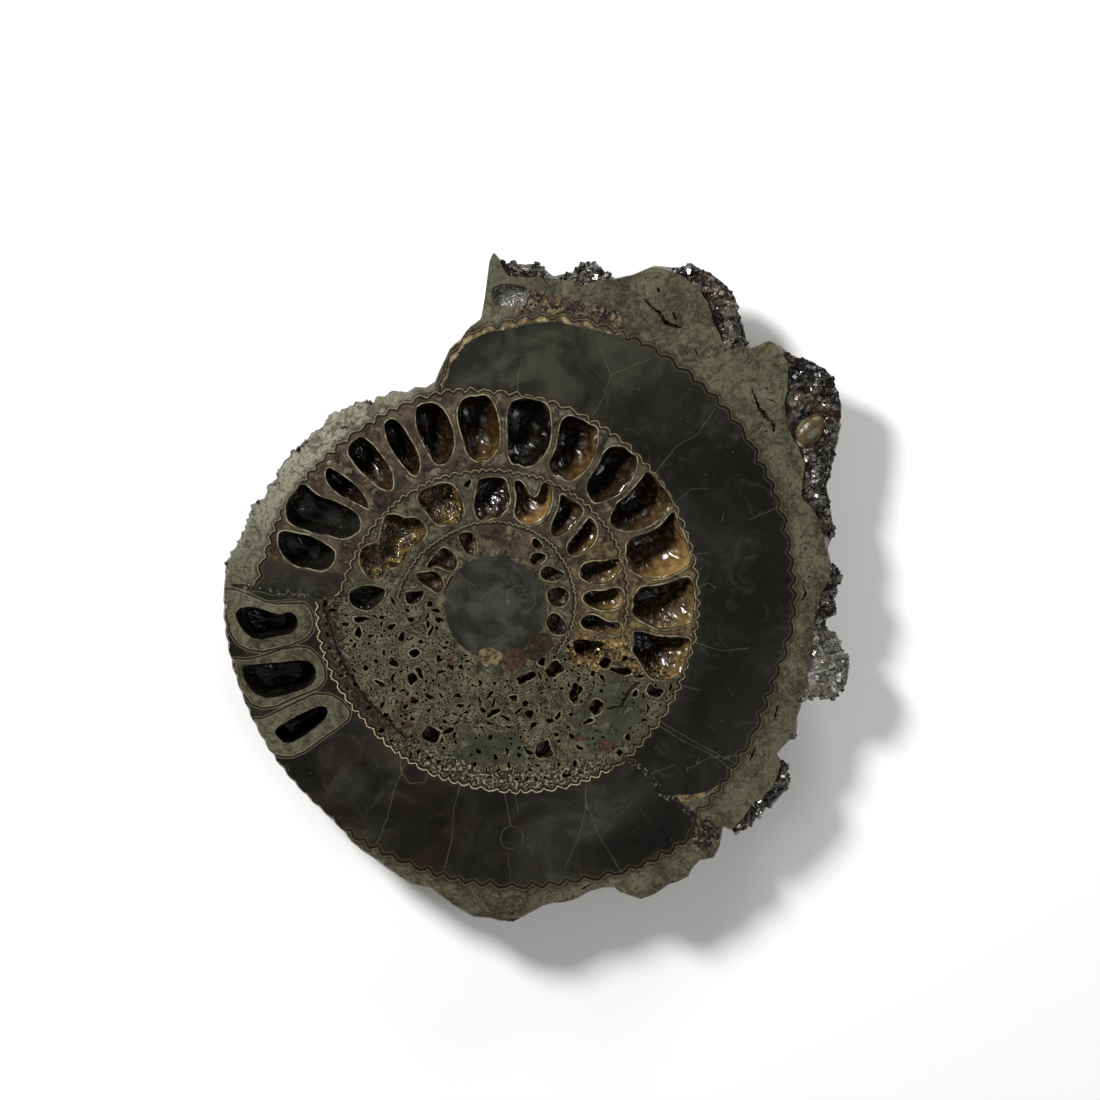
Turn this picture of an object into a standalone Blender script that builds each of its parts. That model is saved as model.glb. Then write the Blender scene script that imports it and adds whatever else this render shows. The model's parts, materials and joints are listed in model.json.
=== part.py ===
"""Half of a pyritised ammonite, sawn along the plane of its coil and polished.

It lies on the ribbed natural side of its shell, with the polished face up. Shapes are
worked out in millimetres and degrees, and become metres where vertices are made.
Angles run anticlockwise from +X about the coil axis. A turn angle runs clockwise from
the shell's lip and keeps growing as the coil winds inwards.
"""
import math
import random

import bmesh
import bpy
from mathutils import Vector

MM = 0.001

# Driving dimensions
THICKNESS = 20.0
COIL_AXIS = (-11.07, -5.39)
LIP_ANGLE = 105.0
SAMPLES_PER_TURN = 144
TURNS = 3
FLANK_RATIO = 0.76
HUB_DEPTH = 7.0
UMBILICUS_ROOF = 4.2
RIB_HEIGHT = 1.2
SAMPLES_PER_RIB = 3
TOUCH_GAP = 0.3

# The shell line: radius of the whorl's outer edge at each turn angle. The two steps are
# the fault that has pushed the lower left of the fossil outwards.
SHELL_LINE = [
    (0, 59.9), (3, 65.3), (5, 69.1), (10, 74.2), (15, 76.4), (25, 79.9), (40, 81.8), (65, 82.4),
    (105, 81.0), (125, 78.0), (150, 78.3), (155, 81.8), (165, 80.5), (180, 77.2), (195, 75.6),
    (215, 73.4), (245, 72.4), (285, 73.2), (290, 65.1), (315, 62.6), (335, 60.5),
    (360, 59.9), (375, 58.1), (405, 56.7), (435, 55.6), (465, 54.8), (485, 54.0), (515, 54.0),
    (530, 52.4), (555, 49.4), (575, 48.1), (605, 46.7), (625, 47.8), (646, 48.1),
    (650, 41.9), (675, 39.7), (705, 38.1), (745, 36.7), (785, 37.0), (825, 35.6), (855, 34.3),
    (885, 32.7), (915, 31.1), (945, 29.2), (975, 27.3), (1005, 26.5), (1035, 24.8),
    (1065, 23.2), (1125, 22.7), (1165, 21.9), (1205, 21.1), (1245, 20.0), (1285, 17.8),
    (1325, 15.7), (1365, 14.9), (1440, 14.0),
]

# Outermost reach of the pyrite crust, as (angle, radius)
CRUST_EDGE = [
    (0, 92.1), (2.5, 91.8), (5, 94.2), (7.5, 91.8), (10, 91.5), (12.5, 94.2), (17.5, 95.0),
    (20, 95.6), (22.5, 98.8), (25, 102.1), (27.5, 105.8), (30, 108.8), (32.5, 110.2), (35, 111.0),
    (37.5, 109.1), (40, 105.8), (42.5, 104.8), (45, 98.3), (47.5, 100.4), (50, 102.9),
    (52.5, 106.7), (55, 107.7), (57.5, 108.0), (60, 106.7), (62.5, 103.7), (65, 102.1),
    (67.5, 97.5), (70, 94.8), (72.5, 95.9), (75, 95.6), (77.5, 92.9), (80, 91.0), (82.5, 93.7),
    (87.5, 93.2), (90, 96.1), (92.5, 79.2), (95, 76.4), (97.5, 73.2), (100, 71.0), (102.5, 67.0),
    (105, 63.2), (107.5, 62.4), (110, 63.5), (112.5, 62.9), (115, 64.5), (120, 65.1), (125, 67.0),
    (130, 68.9), (135, 68.0), (140, 68.9), (145, 69.4), (155, 69.4), (157.5, 71.3), (165, 71.6),
    (170, 73.7), (180, 73.7), (200, 72.6), (220, 72.4), (230, 72.4), (235, 73.2), (240, 75.1),
    (250, 77.5), (255, 78.3), (260, 80.2), (262.5, 82.1), (265, 84.0), (272.5, 85.3), (275, 84.0),
    (280, 81.8), (285, 82.4), (290, 81.3), (292.5, 82.1), (295, 86.4), (297.5, 88.8), (305, 89.9),
    (310, 88.6), (312.5, 89.4), (315, 86.9), (317.5, 89.9), (320, 91.3), (327.5, 92.9),
    (330, 91.5), (332.5, 86.1), (335, 87.2), (337.5, 88.6), (340, 87.2), (342.5, 87.2),
    (345, 92.6), (347.5, 97.7), (350, 97.7), (352.5, 95.0), (355, 93.2), (357.5, 89.4), (360, 92.1),
]

# Width of the rough rim that the polishing didn't reach, as (angle, width)
ROUGH_RIM = [
    (0, 5.1), (2.5, 3.2), (5, 3.2), (7.5, 0.8), (10, 0.6), (12.5, 3.2), (15, 3.8), (17.5, 5.4),
    (20, 7.6), (25, 9.5), (27.5, 13.2), (30, 16.2), (32.5, 16.7), (35, 15.4), (37.5, 9.2),
    (40, 3.0), (45, 0.5), (47.5, 7.8), (50, 7.8), (52.5, 9.5), (55, 7.3), (57.5, 5.9), (60, 3.8),
    (62.5, 1.1), (65, 0.5), (70, 0.5), (72.5, 3.2), (75, 5.7), (77.5, 2.4), (80, 0.5),
    (82.5, 4.0), (87.5, 3.8), (90, 1.0), (92.5, 0.5), (315, 0.5), (320, 3.2), (325, 3.8),
    (330, 2.7), (332.5, 0.5), (342.5, 1.0), (345, 6.2), (347.5, 11.6), (350, 11.3), (352.5, 8.6),
    (355, 6.8), (357.5, 3.0), (360, 5.1),
]
RIM_DROP = 3.0
RIM_SHARE = 0.92
SIDE_JITTER = 0.5

# Rows of vertices across a whorl's flank, outer turn first: share of the whorl's height
# from its outer edge, and share of its depth
FLANK_ROWS = [
    [(0.20, 0.93), (0.44, 1.0), (0.74, 0.98)],
    [(0.22, 0.94), (0.70, 0.98)],
    [(0.50, 1.0)],
]
COLUMN_LENGTH = len(FLANK_ROWS[0]) + 2
SEAM_OVERLAP = 0.05
SEAM_DEPTH = 0.70

# Chambers and pits, as (start angle, end angle, inner radius, outer radius)
THICK_WALLED_CHAMBERS = [
    (180.5, 188.5, 53.7, 69.9), (194, 203, 51.0, 70.0), (209, 215, 53.2, 68.3),
]
LINED_OUTER_CHAMBERS = [
    (-20, -9, 37.8, 53.3), (-7, 9, 36.8, 53.7), (11, 27, 37.8, 54.4), (29, 41.5, 38.3, 54.6),
    (44.7, 55, 38.3, 54.5), (58.5, 70.5, 38.9, 55.6), (73, 86.6, 38.9, 56.2),
    (88.2, 101.5, 39.7, 57.2), (103.5, 114, 40.5, 58.3), (116, 123.5, 41.0, 58.4),
    (126, 135.7, 41.9, 59.2), (139, 144.8, 42.7, 59.7),
]
DARK_CHAMBERS = [(146.6, 158, 41.9, 62.0), (160, 169, 43.2, 61.8)]
LINED_INNER_CHAMBERS = [
    (-28.3, -18, 22.3, 27.8), (-14.3, -4, 22.8, 28.9), (2.5, 10.7, 23.2, 29.7),
    (18, 26.6, 23.8, 31.1), (32, 42.6, 23.8, 31.3), (47.7, 59, 23.8, 31.1),
    (62, 80, 23.8, 31.1), (84, 100.4, 23.8, 35.4),
]
LINED_CHAMBERS = LINED_OUTER_CHAMBERS + LINED_INNER_CHAMBERS
OPEN_INNER_CHAMBERS = [(106, 127.4, 24.6, 36.8), (131, 166, 26.6, 37.6), (170, 179, 29.2, 38.6)]
HUB_CHAMBERS = [
    (-25, -4, 15.0, 20.3), (0, 20.8, 15.0, 20.6), (24, 41, 15.0, 19.4), (45, 60.5, 15.0, 21.2),
    (105, 120, 15.0, 21.8), (125.7, 144.7, 15.0, 21.4), (149, 168, 15.0, 19.7),
]
VUGS = [
    (286, 300, 19.9, 22.0), (308, 320, 21.3, 25.2), (207.5, 212.5, 23.8, 26.4),
    (218.5, 223.5, 28.2, 31.0), (240, 247, 36.7, 40.3), (286, 292, 38.6, 43.0),
    (310.5, 317.5, 30.2, 32.6), (312.5, 318.5, 36.7, 40.1), (330.5, 336, 32.2, 35.2),
    (330.5, 335, 46.2, 52.2),
]
LIP_RECESS = [(84, 89.6, 80.9, 87.3)]

OUTLINE_POINTS = 12
INNER_OUTLINE_POINTS = 10
SMALL_OUTLINE_POINTS = 8
CORNER_ROUNDING = 0.66
WAIST = (0.5, 0.93)
FLOOR_SCALE = 0.6

LINING_RIM_DROP = 1.0
LINING_THICKNESS = (0.7, 1.5)

# Lumps of drusy pyrite on the rim, as (angle, radius, size)
RIM_LUMPS = [
    (74.0, 93.2, 4.0),
    (48.4, 94.5, 2.6), (49.6, 98.0, 3.3), (52.2, 101.5, 3.9), (54.8, 103.0, 3.6), (57.6, 104.2, 3.1),
    (60.2, 103.6, 2.3),
    (22.4, 94.6, 3.4), (25.2, 98.2, 3.4), (28.2, 102.4, 3.4), (31.2, 104.8, 3.8), (34.0, 106.4, 4.2),
    (34.4, 99.6, 4.0), (37.0, 104.2, 3.8), (39.8, 103.2, 2.4), (32.0, 99.0, 3.0),
    (0.2, 89.8, 2.5), (2.8, 90.2, 2.2), (5.0, 91.6, 2.5), (14.0, 91.8, 2.4), (17.8, 92.2, 2.7),
    (347.0, 92.6, 4.6), (350.3, 92.6, 5.0), (353.4, 90.0, 4.2), (347.8, 88.2, 3.4), (352.0, 87.4, 3.4),
    (319.2, 88.4, 2.5), (322.2, 88.9, 2.5), (325.5, 90.0, 2.8), (328.4, 89.9, 2.8), (330.4, 88.8, 2.1),
    (337.0, 86.4, 2.1), (272.8, 83.2, 2.2),
]
LUMP_CLEARANCE = 0.5
LUMP_JITTER = 0.14
SMALL_LUMP = 4.3

# The calcite grain lies with its long axis along the radius
GRAIN_PLACE = (29.2, 97.4)
GRAIN_HALF_SIZE = (5.0, 2.5, 2.3)
GRAIN_DROP = 3.1

OLIVE_PYRITE = (0.115, 0.125, 0.078, 1.0)
BROWN_CALCITE = (0.14, 0.075, 0.028, 1.0)
CREAM_CALCITE = (0.52, 0.38, 0.19, 1.0)


def clear_scene():
    """Remove every object that the file opened with."""
    for old in list(bpy.data.objects):
        bpy.data.objects.remove(old, do_unlink=True)


def principled(name, colour, roughness, metallic):
    """A plain Principled material."""
    material = bpy.data.materials.new(name)
    material.use_nodes = True
    shader = material.node_tree.nodes["Principled BSDF"]
    shader.inputs["Base Color"].default_value = colour
    shader.inputs["Roughness"].default_value = roughness
    shader.inputs["Metallic"].default_value = metallic
    return material


def read_line(knots, at):
    """Straight interpolation between (position, value) knots."""
    for (low, first), (high, second) in zip(knots, knots[1:]):
        if low <= at <= high:
            return first + (second - first) * (at - low) / (high - low)
    return knots[-1][1]


def knot_slope(before, after):
    """Slope of a smooth curve at a knot, from the slopes of the stretches beside it."""
    if before * after <= 0:
        return 0.0
    return 2 * before * after / (before + after)


def read_curve(knots, at):
    """Smooth interpolation between knots that never overshoots them."""
    last = len(knots) - 2
    index = 0
    while index < last and knots[index + 1][0] < at:
        index += 1
    slopes = []
    for step in (index - 1, index, index + 1):
        step = min(max(step, 0), last)
        (low, first), (high, second) = knots[step], knots[step + 1]
        slopes.append((second - first) / (high - low))
    start_slope = knot_slope(slopes[0], slopes[1])
    end_slope = knot_slope(slopes[1], slopes[2])
    (low, first), (high, second) = knots[index], knots[index + 1]
    span = high - low
    t = (at - low) / span
    rise = t * t * (3 - 2 * t)
    return (first + (second - first) * rise
            + start_slope * span * t * (1 - t) ** 2
            - end_slope * span * t * t * (1 - t))


def place(angle, radius, height):
    """A point in metres, from an angle and radius about the coil axis and a height."""
    turn = math.radians(angle)
    x = COIL_AXIS[0] + radius * math.cos(turn)
    y = COIL_AXIS[1] + radius * math.sin(turn)
    return Vector((x, y, height)) * MM


def link(name, bm, material):
    """Finish a bmesh as an object in the scene."""
    bmesh.ops.recalc_face_normals(bm, faces=bm.faces)
    bmesh.ops.triangulate(bm, faces=bm.faces)
    mesh = bpy.data.meshes.new(name)
    bm.to_mesh(mesh)
    bm.free()
    mesh.materials.append(material)
    made = bpy.data.objects.new(name, mesh)
    bpy.context.scene.collection.objects.link(made)
    return made


def bridge(bm, lower, upper):
    """Quads between two closed rings of vertices."""
    count = len(lower)
    for i in range(count):
        j = (i + 1) % count
        bm.faces.new((lower[i], lower[j], upper[j], upper[i]))


def turn_angle(sample):
    return sample * 360.0 / SAMPLES_PER_TURN


def shell_radius(sample):
    """Radius of the whorl's outer edge at a sample along the coil."""
    coil_end = SHELL_LINE[-1][0]
    return read_curve(SHELL_LINE, min(turn_angle(sample), coil_end))


def whorl_height(sample):
    return shell_radius(sample) - shell_radius(sample + SAMPLES_PER_TURN)


def whorl_depth(sample):
    """Half the whorl's width, which is how far it reaches below the polished plane."""
    return max(whorl_height(sample) * FLANK_RATIO, HUB_DEPTH)


def rib(sample):
    """Height of the rib relief at a sample: crest, shoulder, groove."""
    reliefs = [1.0, 0.55, 0.0]
    strength = whorl_depth(sample) / THICKNESS
    return RIB_HEIGHT * reliefs[sample % SAMPLES_PER_RIB] * strength


def lower_point(bm, sample, radius, depth):
    """A vertex on the natural side, never below the surface the fossil lies on."""
    height = max(THICKNESS - depth, 0.0)
    return bm.verts.new(place(LIP_ANGLE - turn_angle(sample), radius, height))


def side_rings(bm, rng):
    """Rings of vertices down the side, from the polished edge to the start of the flank."""
    rings = [[], [], [], []]
    for sample in range(SAMPLES_PER_TURN):
        angle = (LIP_ANGLE - turn_angle(sample)) % 360
        reach = read_line(CRUST_EDGE, angle)
        polished = reach - read_line(ROUGH_RIM, angle)
        shell = shell_radius(sample)
        crust = reach - shell
        depth = max(whorl_depth(sample), whorl_depth(sample + SAMPLES_PER_TURN))
        relief = rib(sample)
        loose = [rng.uniform(-SIDE_JITTER, SIDE_JITTER) for _ in range(3)]
        rows = [
            (polished, 0.0),
            (polished + RIM_SHARE * (reach - polished), RIM_DROP + loose[0]),
            (shell + 0.80 * crust + 0.5 * relief + loose[1], 0.45 * depth),
            (shell + 0.22 * crust - 0.03 * whorl_height(sample) + relief, 0.76 * depth + loose[2]),
        ]
        for ring, (radius, drop) in zip(rings, rows):
            ring.append(lower_point(bm, sample, radius, drop))
    for upper, lower in zip(rings, rings[1:]):
        bridge(bm, upper, lower)
    return rings


def seam_vertex(bm, sample):
    """A vertex where a whorl meets the next one inwards, on the natural side."""
    inner = sample + SAMPLES_PER_TURN
    radius = shell_radius(inner) - SEAM_OVERLAP * whorl_height(inner)
    return lower_point(bm, sample, radius, SEAM_DEPTH * whorl_depth(inner))


def flank_column(bm, sample, outer):
    """Vertices across one whorl's flank, from its outer edge to the seam inside it."""
    column = [outer]
    turn = min(sample // SAMPLES_PER_TURN, TURNS - 1)
    for across, depth_share in FLANK_ROWS[turn]:
        depth = whorl_depth(sample) * depth_share + rib(sample)
        radius = shell_radius(sample) - across * whorl_height(sample)
        column.append(lower_point(bm, sample, radius, depth))
    while len(column) < COLUMN_LENGTH - 1:
        column.append(column[-1])
    column.append(seam_vertex(bm, sample))
    return column


def natural_side(bm, foot):
    """The coil of ribbed whorls, wound from the lip to the hub as one strip."""
    last = TURNS * SAMPLES_PER_TURN
    columns = [[foot[0]] * COLUMN_LENGTH]
    for sample in range(1, last + 1):
        if sample < SAMPLES_PER_TURN:
            outer = foot[sample]
        else:
            outer = columns[sample - SAMPLES_PER_TURN][-1]
        columns.append(flank_column(bm, sample, outer))
    for left, right in zip(columns, columns[1:]):
        for k in range(len(left) - 1):
            corners = list(dict.fromkeys((left[k], right[k], right[k + 1], left[k + 1])))
            if len(corners) > 2:
                bm.faces.new(corners)
    bm.faces.new(list(dict.fromkeys(reversed(columns[last]))))
    hub_loop = [column[-1] for column in columns[last - SAMPLES_PER_TURN:]]
    hub = bm.verts.new(place(0, 0, THICKNESS - UMBILICUS_ROOF))
    for a, b in zip(hub_loop, hub_loop[1:] + hub_loop[:1]):
        bm.faces.new((a, b, hub))


def pit_outline(pit, count, scale=1.0, inset=0.0):
    """(angle, radius) points of a rounded four-sided pit, scaled or inset about its middle."""
    start, end, inner, outer = pit
    middle_angle = (start + end) / 2
    middle_radius = (inner + outer) / 2
    inset_angle = math.degrees(inset / middle_radius)
    half_angle = ((end - start) / 2 - inset_angle) * scale
    half_height = ((outer - inner) / 2 - inset) * scale
    points = []
    for i in range(count):
        around = math.tau * (i + 0.5) / count
        across = math.copysign(abs(math.cos(around)) ** CORNER_ROUNDING, math.cos(around))
        along = math.copysign(abs(math.sin(around)) ** CORNER_ROUNDING, math.sin(around))
        points.append((middle_angle + half_angle * across, middle_radius + half_height * along))
    return points


def ring_of(bm, outline, height):
    return [bm.verts.new(place(angle, radius, height)) for angle, radius in outline]


def sink_pit(bm, pit, depth, count):
    """Sink one pit below the polished face and return the vertices of its mouth."""
    waist_share, waist_scale = WAIST
    rings = [ring_of(bm, pit_outline(pit, count), THICKNESS)]
    if pit not in LINED_CHAMBERS:
        waist = pit_outline(pit, count, waist_scale)
        rings.append(ring_of(bm, waist, THICKNESS - waist_share * depth))
    rings.append(ring_of(bm, pit_outline(pit, count, FLOOR_SCALE), THICKNESS - depth))
    for upper, lower in zip(rings, rings[1:]):
        bridge(bm, upper, lower)
    bm.faces.new(rings[-1])
    return rings[0]


def all_pits():
    """Every pit with its depth and its number of outline points."""
    groups = [
        (THICK_WALLED_CHAMBERS, 11.0, OUTLINE_POINTS),
        (LINED_OUTER_CHAMBERS, 8.5, OUTLINE_POINTS),
        (DARK_CHAMBERS, 9.0, INNER_OUTLINE_POINTS),
        (LINED_INNER_CHAMBERS, 5.5, INNER_OUTLINE_POINTS),
        (OPEN_INNER_CHAMBERS, 5.0, INNER_OUTLINE_POINTS),
        (HUB_CHAMBERS, 3.4, SMALL_OUTLINE_POINTS),
        (VUGS, 3.4, SMALL_OUTLINE_POINTS),
        (LIP_RECESS, 3.0, SMALL_OUTLINE_POINTS),
    ]
    return [(pit, depth, count) for pits, depth, count in groups for pit in pits]


def loop_edges(loop):
    """Edges of a closed loop of vertices that already has faces on one side."""
    following = loop[1:] + loop[:1]
    return [next(e for e in a.link_edges if e.other_vert(a) is b) for a, b in zip(loop, following)]


def fossil_body(material):
    """The half ammonite without its rim lumps."""
    bm = bmesh.new()
    rings = side_rings(bm, random.Random(4))
    natural_side(bm, rings[-1])
    face_edges = loop_edges(rings[0])
    for pit, depth, count in all_pits():
        face_edges += loop_edges(sink_pit(bm, pit, depth, count))
    bmesh.ops.triangle_fill(bm, edges=face_edges, use_beauty=True, normal=(0, 0, 1))
    return link("fossil", bm, material)


def hide_helper(helper):
    """Mark an object as a modelling helper that is no piece of its own."""
    helper.hide_render = True
    helper.display_type = "WIRE"


def rim_lump(number, angle, radius, size, rng, material):
    """One faceted lump of crystals, a little below the polished face."""
    bm = bmesh.new()
    finer = 2 if size > SMALL_LUMP else 1
    bmesh.ops.create_icosphere(bm, subdivisions=finer, radius=size * MM)
    for vert in bm.verts:
        vert.co *= 1 + rng.uniform(-LUMP_JITTER, LUMP_JITTER)
    top = max(vert.co.z for vert in bm.verts) / MM
    centre = place(angle, radius, THICKNESS - LUMP_CLEARANCE - top)
    bmesh.ops.translate(bm, vec=centre, verts=bm.verts)
    lump = link(f"rim_lump_{number:02d}", bm, material)
    hide_helper(lump)
    return lump


def grow_lumps(fossil, material):
    """Join the lumps of drusy pyrite to the fossil's rim."""
    rng = random.Random(11)
    lumps = bpy.data.collections.new("rim_lumps")
    bpy.context.scene.collection.children.link(lumps)
    for number, (angle, radius, size) in enumerate(RIM_LUMPS, start=1):
        lump = rim_lump(number, angle, radius, size, rng, material)
        bpy.context.scene.collection.objects.unlink(lump)
        lumps.objects.link(lump)
    union = fossil.modifiers.new("rim_lumps", "BOOLEAN")
    union.operation = "UNION"
    union.solver = "EXACT"
    union.operand_type = "COLLECTION"
    union.collection = lumps


def grain_shape(name, extra, material):
    """The grain's rounded shape, or with extra all round, the pocket that holds it."""
    bm = bmesh.new()
    bmesh.ops.create_icosphere(bm, subdivisions=2, radius=1.0)
    length, width, height = (half + extra for half in GRAIN_HALF_SIZE)
    bmesh.ops.scale(bm, vec=Vector((length, width, height)) * MM, verts=bm.verts)
    grain = link(name, bm, material)
    angle, radius = GRAIN_PLACE
    grain.location = place(angle, radius, THICKNESS - GRAIN_DROP)
    grain.rotation_euler.z = math.radians(angle)
    return grain


def set_grain(fossil, material):
    """Seat the calcite grain in a pocket in the fossil's rim."""
    grain_shape("calcite_grain", 0.0, material)
    pocket = grain_shape("grain_pocket", TOUCH_GAP, material)
    hide_helper(pocket)
    cut = fossil.modifiers.new("grain_pocket", "BOOLEAN")
    cut.operation = "DIFFERENCE"
    cut.solver = "EXACT"
    cut.object = pocket


def chamber_lining(number, pit, depth, count, rng, material):
    """The crust of calcite crystals that lines one chamber, open at the top."""
    clear = TOUCH_GAP + 0.15
    low = THICKNESS - depth + TOUCH_GAP + 0.1
    high = THICKNESS - LINING_RIM_DROP
    middle = (low + high) / 2
    bm = bmesh.new()
    wall_top = ring_of(bm, pit_outline(pit, count, 1.0, clear), high)
    wall_foot = ring_of(bm, pit_outline(pit, count, FLOOR_SCALE, clear), low)
    thin, thick = LINING_THICKNESS
    crystal_rings = []
    for height, scale in ((high, 1.0), (middle, 0.92), (low + thick, 0.62)):
        ring = []
        for i in range(count):
            inset = clear + rng.uniform(thin, thick)
            angle, radius = pit_outline(pit, count, scale, inset)[i]
            ring.append(bm.verts.new(place(angle, radius, height)))
        crystal_rings.append(ring)
    bridge(bm, wall_top, wall_foot)
    bm.faces.new(wall_foot)
    bridge(bm, wall_top, crystal_rings[0])
    bridge(bm, crystal_rings[0], crystal_rings[1])
    bridge(bm, crystal_rings[1], crystal_rings[2])
    bm.faces.new(crystal_rings[2])
    link(f"chamber_lining_{number:02d}", bm, material)


def line_chambers(material):
    """Line every chamber that has a crust of crystals."""
    rng = random.Random(23)
    lined = [row for row in all_pits() if row[0] in LINED_CHAMBERS]
    for number, (pit, depth, count) in enumerate(lined, start=1):
        chamber_lining(number, pit, depth, count, rng, material)


def build():
    clear_scene()
    pyrite = principled("olive_pyrite", OLIVE_PYRITE, 0.42, 0.6)
    calcite = principled("brown_calcite", BROWN_CALCITE, 0.18, 0.0)
    cream = principled("cream_calcite", CREAM_CALCITE, 0.3, 0.0)
    fossil = fossil_body(pyrite)
    grow_lumps(fossil, pyrite)
    set_grain(fossil, cream)
    line_chambers(calcite)


build()
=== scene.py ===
import json
import math
import random

import bmesh
import bpy
import numpy as np
from mathutils import Matrix, Vector, noise
from mathutils.geometry import delaunay_2d_cdt

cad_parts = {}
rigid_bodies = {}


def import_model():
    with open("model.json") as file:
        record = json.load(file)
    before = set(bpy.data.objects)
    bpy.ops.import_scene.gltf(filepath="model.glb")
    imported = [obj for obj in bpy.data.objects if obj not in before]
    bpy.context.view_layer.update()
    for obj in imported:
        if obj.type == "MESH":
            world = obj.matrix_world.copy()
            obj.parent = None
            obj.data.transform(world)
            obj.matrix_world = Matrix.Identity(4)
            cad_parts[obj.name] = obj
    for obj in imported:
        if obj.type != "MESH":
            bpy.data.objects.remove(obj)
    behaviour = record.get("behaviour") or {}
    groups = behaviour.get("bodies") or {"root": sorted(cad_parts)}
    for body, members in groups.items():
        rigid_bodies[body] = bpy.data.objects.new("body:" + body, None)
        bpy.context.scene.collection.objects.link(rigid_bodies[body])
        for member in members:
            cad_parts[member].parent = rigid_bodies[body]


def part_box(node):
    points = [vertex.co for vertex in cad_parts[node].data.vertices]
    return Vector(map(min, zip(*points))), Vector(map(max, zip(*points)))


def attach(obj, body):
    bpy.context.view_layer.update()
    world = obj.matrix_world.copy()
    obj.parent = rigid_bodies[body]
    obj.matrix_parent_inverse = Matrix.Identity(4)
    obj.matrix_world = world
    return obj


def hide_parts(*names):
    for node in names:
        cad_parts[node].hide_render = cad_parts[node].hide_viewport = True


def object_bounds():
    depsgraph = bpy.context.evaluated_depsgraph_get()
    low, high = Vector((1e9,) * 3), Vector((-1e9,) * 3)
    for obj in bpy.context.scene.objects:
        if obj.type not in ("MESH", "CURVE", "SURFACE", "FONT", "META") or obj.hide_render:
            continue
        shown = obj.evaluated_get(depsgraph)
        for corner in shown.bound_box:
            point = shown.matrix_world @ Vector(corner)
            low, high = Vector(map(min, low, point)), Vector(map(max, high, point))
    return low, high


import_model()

CAD_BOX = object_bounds()

# Sizes are in millimetres and degrees, about the coil axis, until vertices are made.
# Angles run anticlockwise from +X, and a turn angle clockwise from the shell's lip.
MM = 0.001
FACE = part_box("fossil")[1][2] / MM
COIL_AXIS = (-11.07, -5.39)
LIP_ANGLE = 105.0
# Half a whorl's width as a share of its height, and the least half width, at the hub
FLANK_RATIO = 0.76
HUB_DEPTH = 7.0
UMBILICUS_ROOF = 4.2
SCALLOPS_PER_TURN = 96
LAST_TURN = 1440
# Columns of points round the rim and the natural side
COLUMNS = 1000
# Spacing of the loose points of the face, and the cell that holds at most one of them
FACE_SPACING = 0.7
CELL = 0.3
PORE_TRIES = 26000
MOST_PORES = 1050
SCRATCHES = 70
RIM_CUBES = 1300
# Farthest distance that is measured to a line, and the value given to the shell line's other side
FARTHEST = 6.0
OTHER_SIDE = 9.0

# Turn angle and radius of the shell line, from the lip to the hub
SHELL_LINE = [
    (0, 59.9), (3, 65.3), (5, 69.1), (10, 74.2), (15, 76.4), (25, 79.9), (40, 81.8), (65, 82.4),
    (105, 81.0), (125, 78.0), (150, 78.3), (155, 81.8), (165, 80.5), (180, 77.2), (195, 75.6),
    (215, 73.4), (245, 72.4), (285, 73.2), (290, 65.1), (315, 62.6), (335, 60.5),
    (360, 59.9), (375, 58.1), (405, 56.7), (435, 55.6), (465, 54.8), (485, 54.0), (515, 54.0),
    (530, 52.4), (555, 49.4), (575, 48.1), (605, 46.7), (625, 47.8), (646, 48.1),
    (650, 41.9), (675, 39.7), (705, 38.1), (745, 36.7), (785, 37.0), (825, 35.6), (855, 34.3),
    (885, 32.7), (915, 31.1), (945, 29.2), (975, 27.3), (1005, 26.5), (1035, 24.8),
    (1065, 23.2), (1125, 22.7), (1165, 21.9), (1205, 21.1), (1245, 20.0), (1285, 17.8),
    (1325, 15.7), (1365, 14.9), (1440, 14.0),
]

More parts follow.
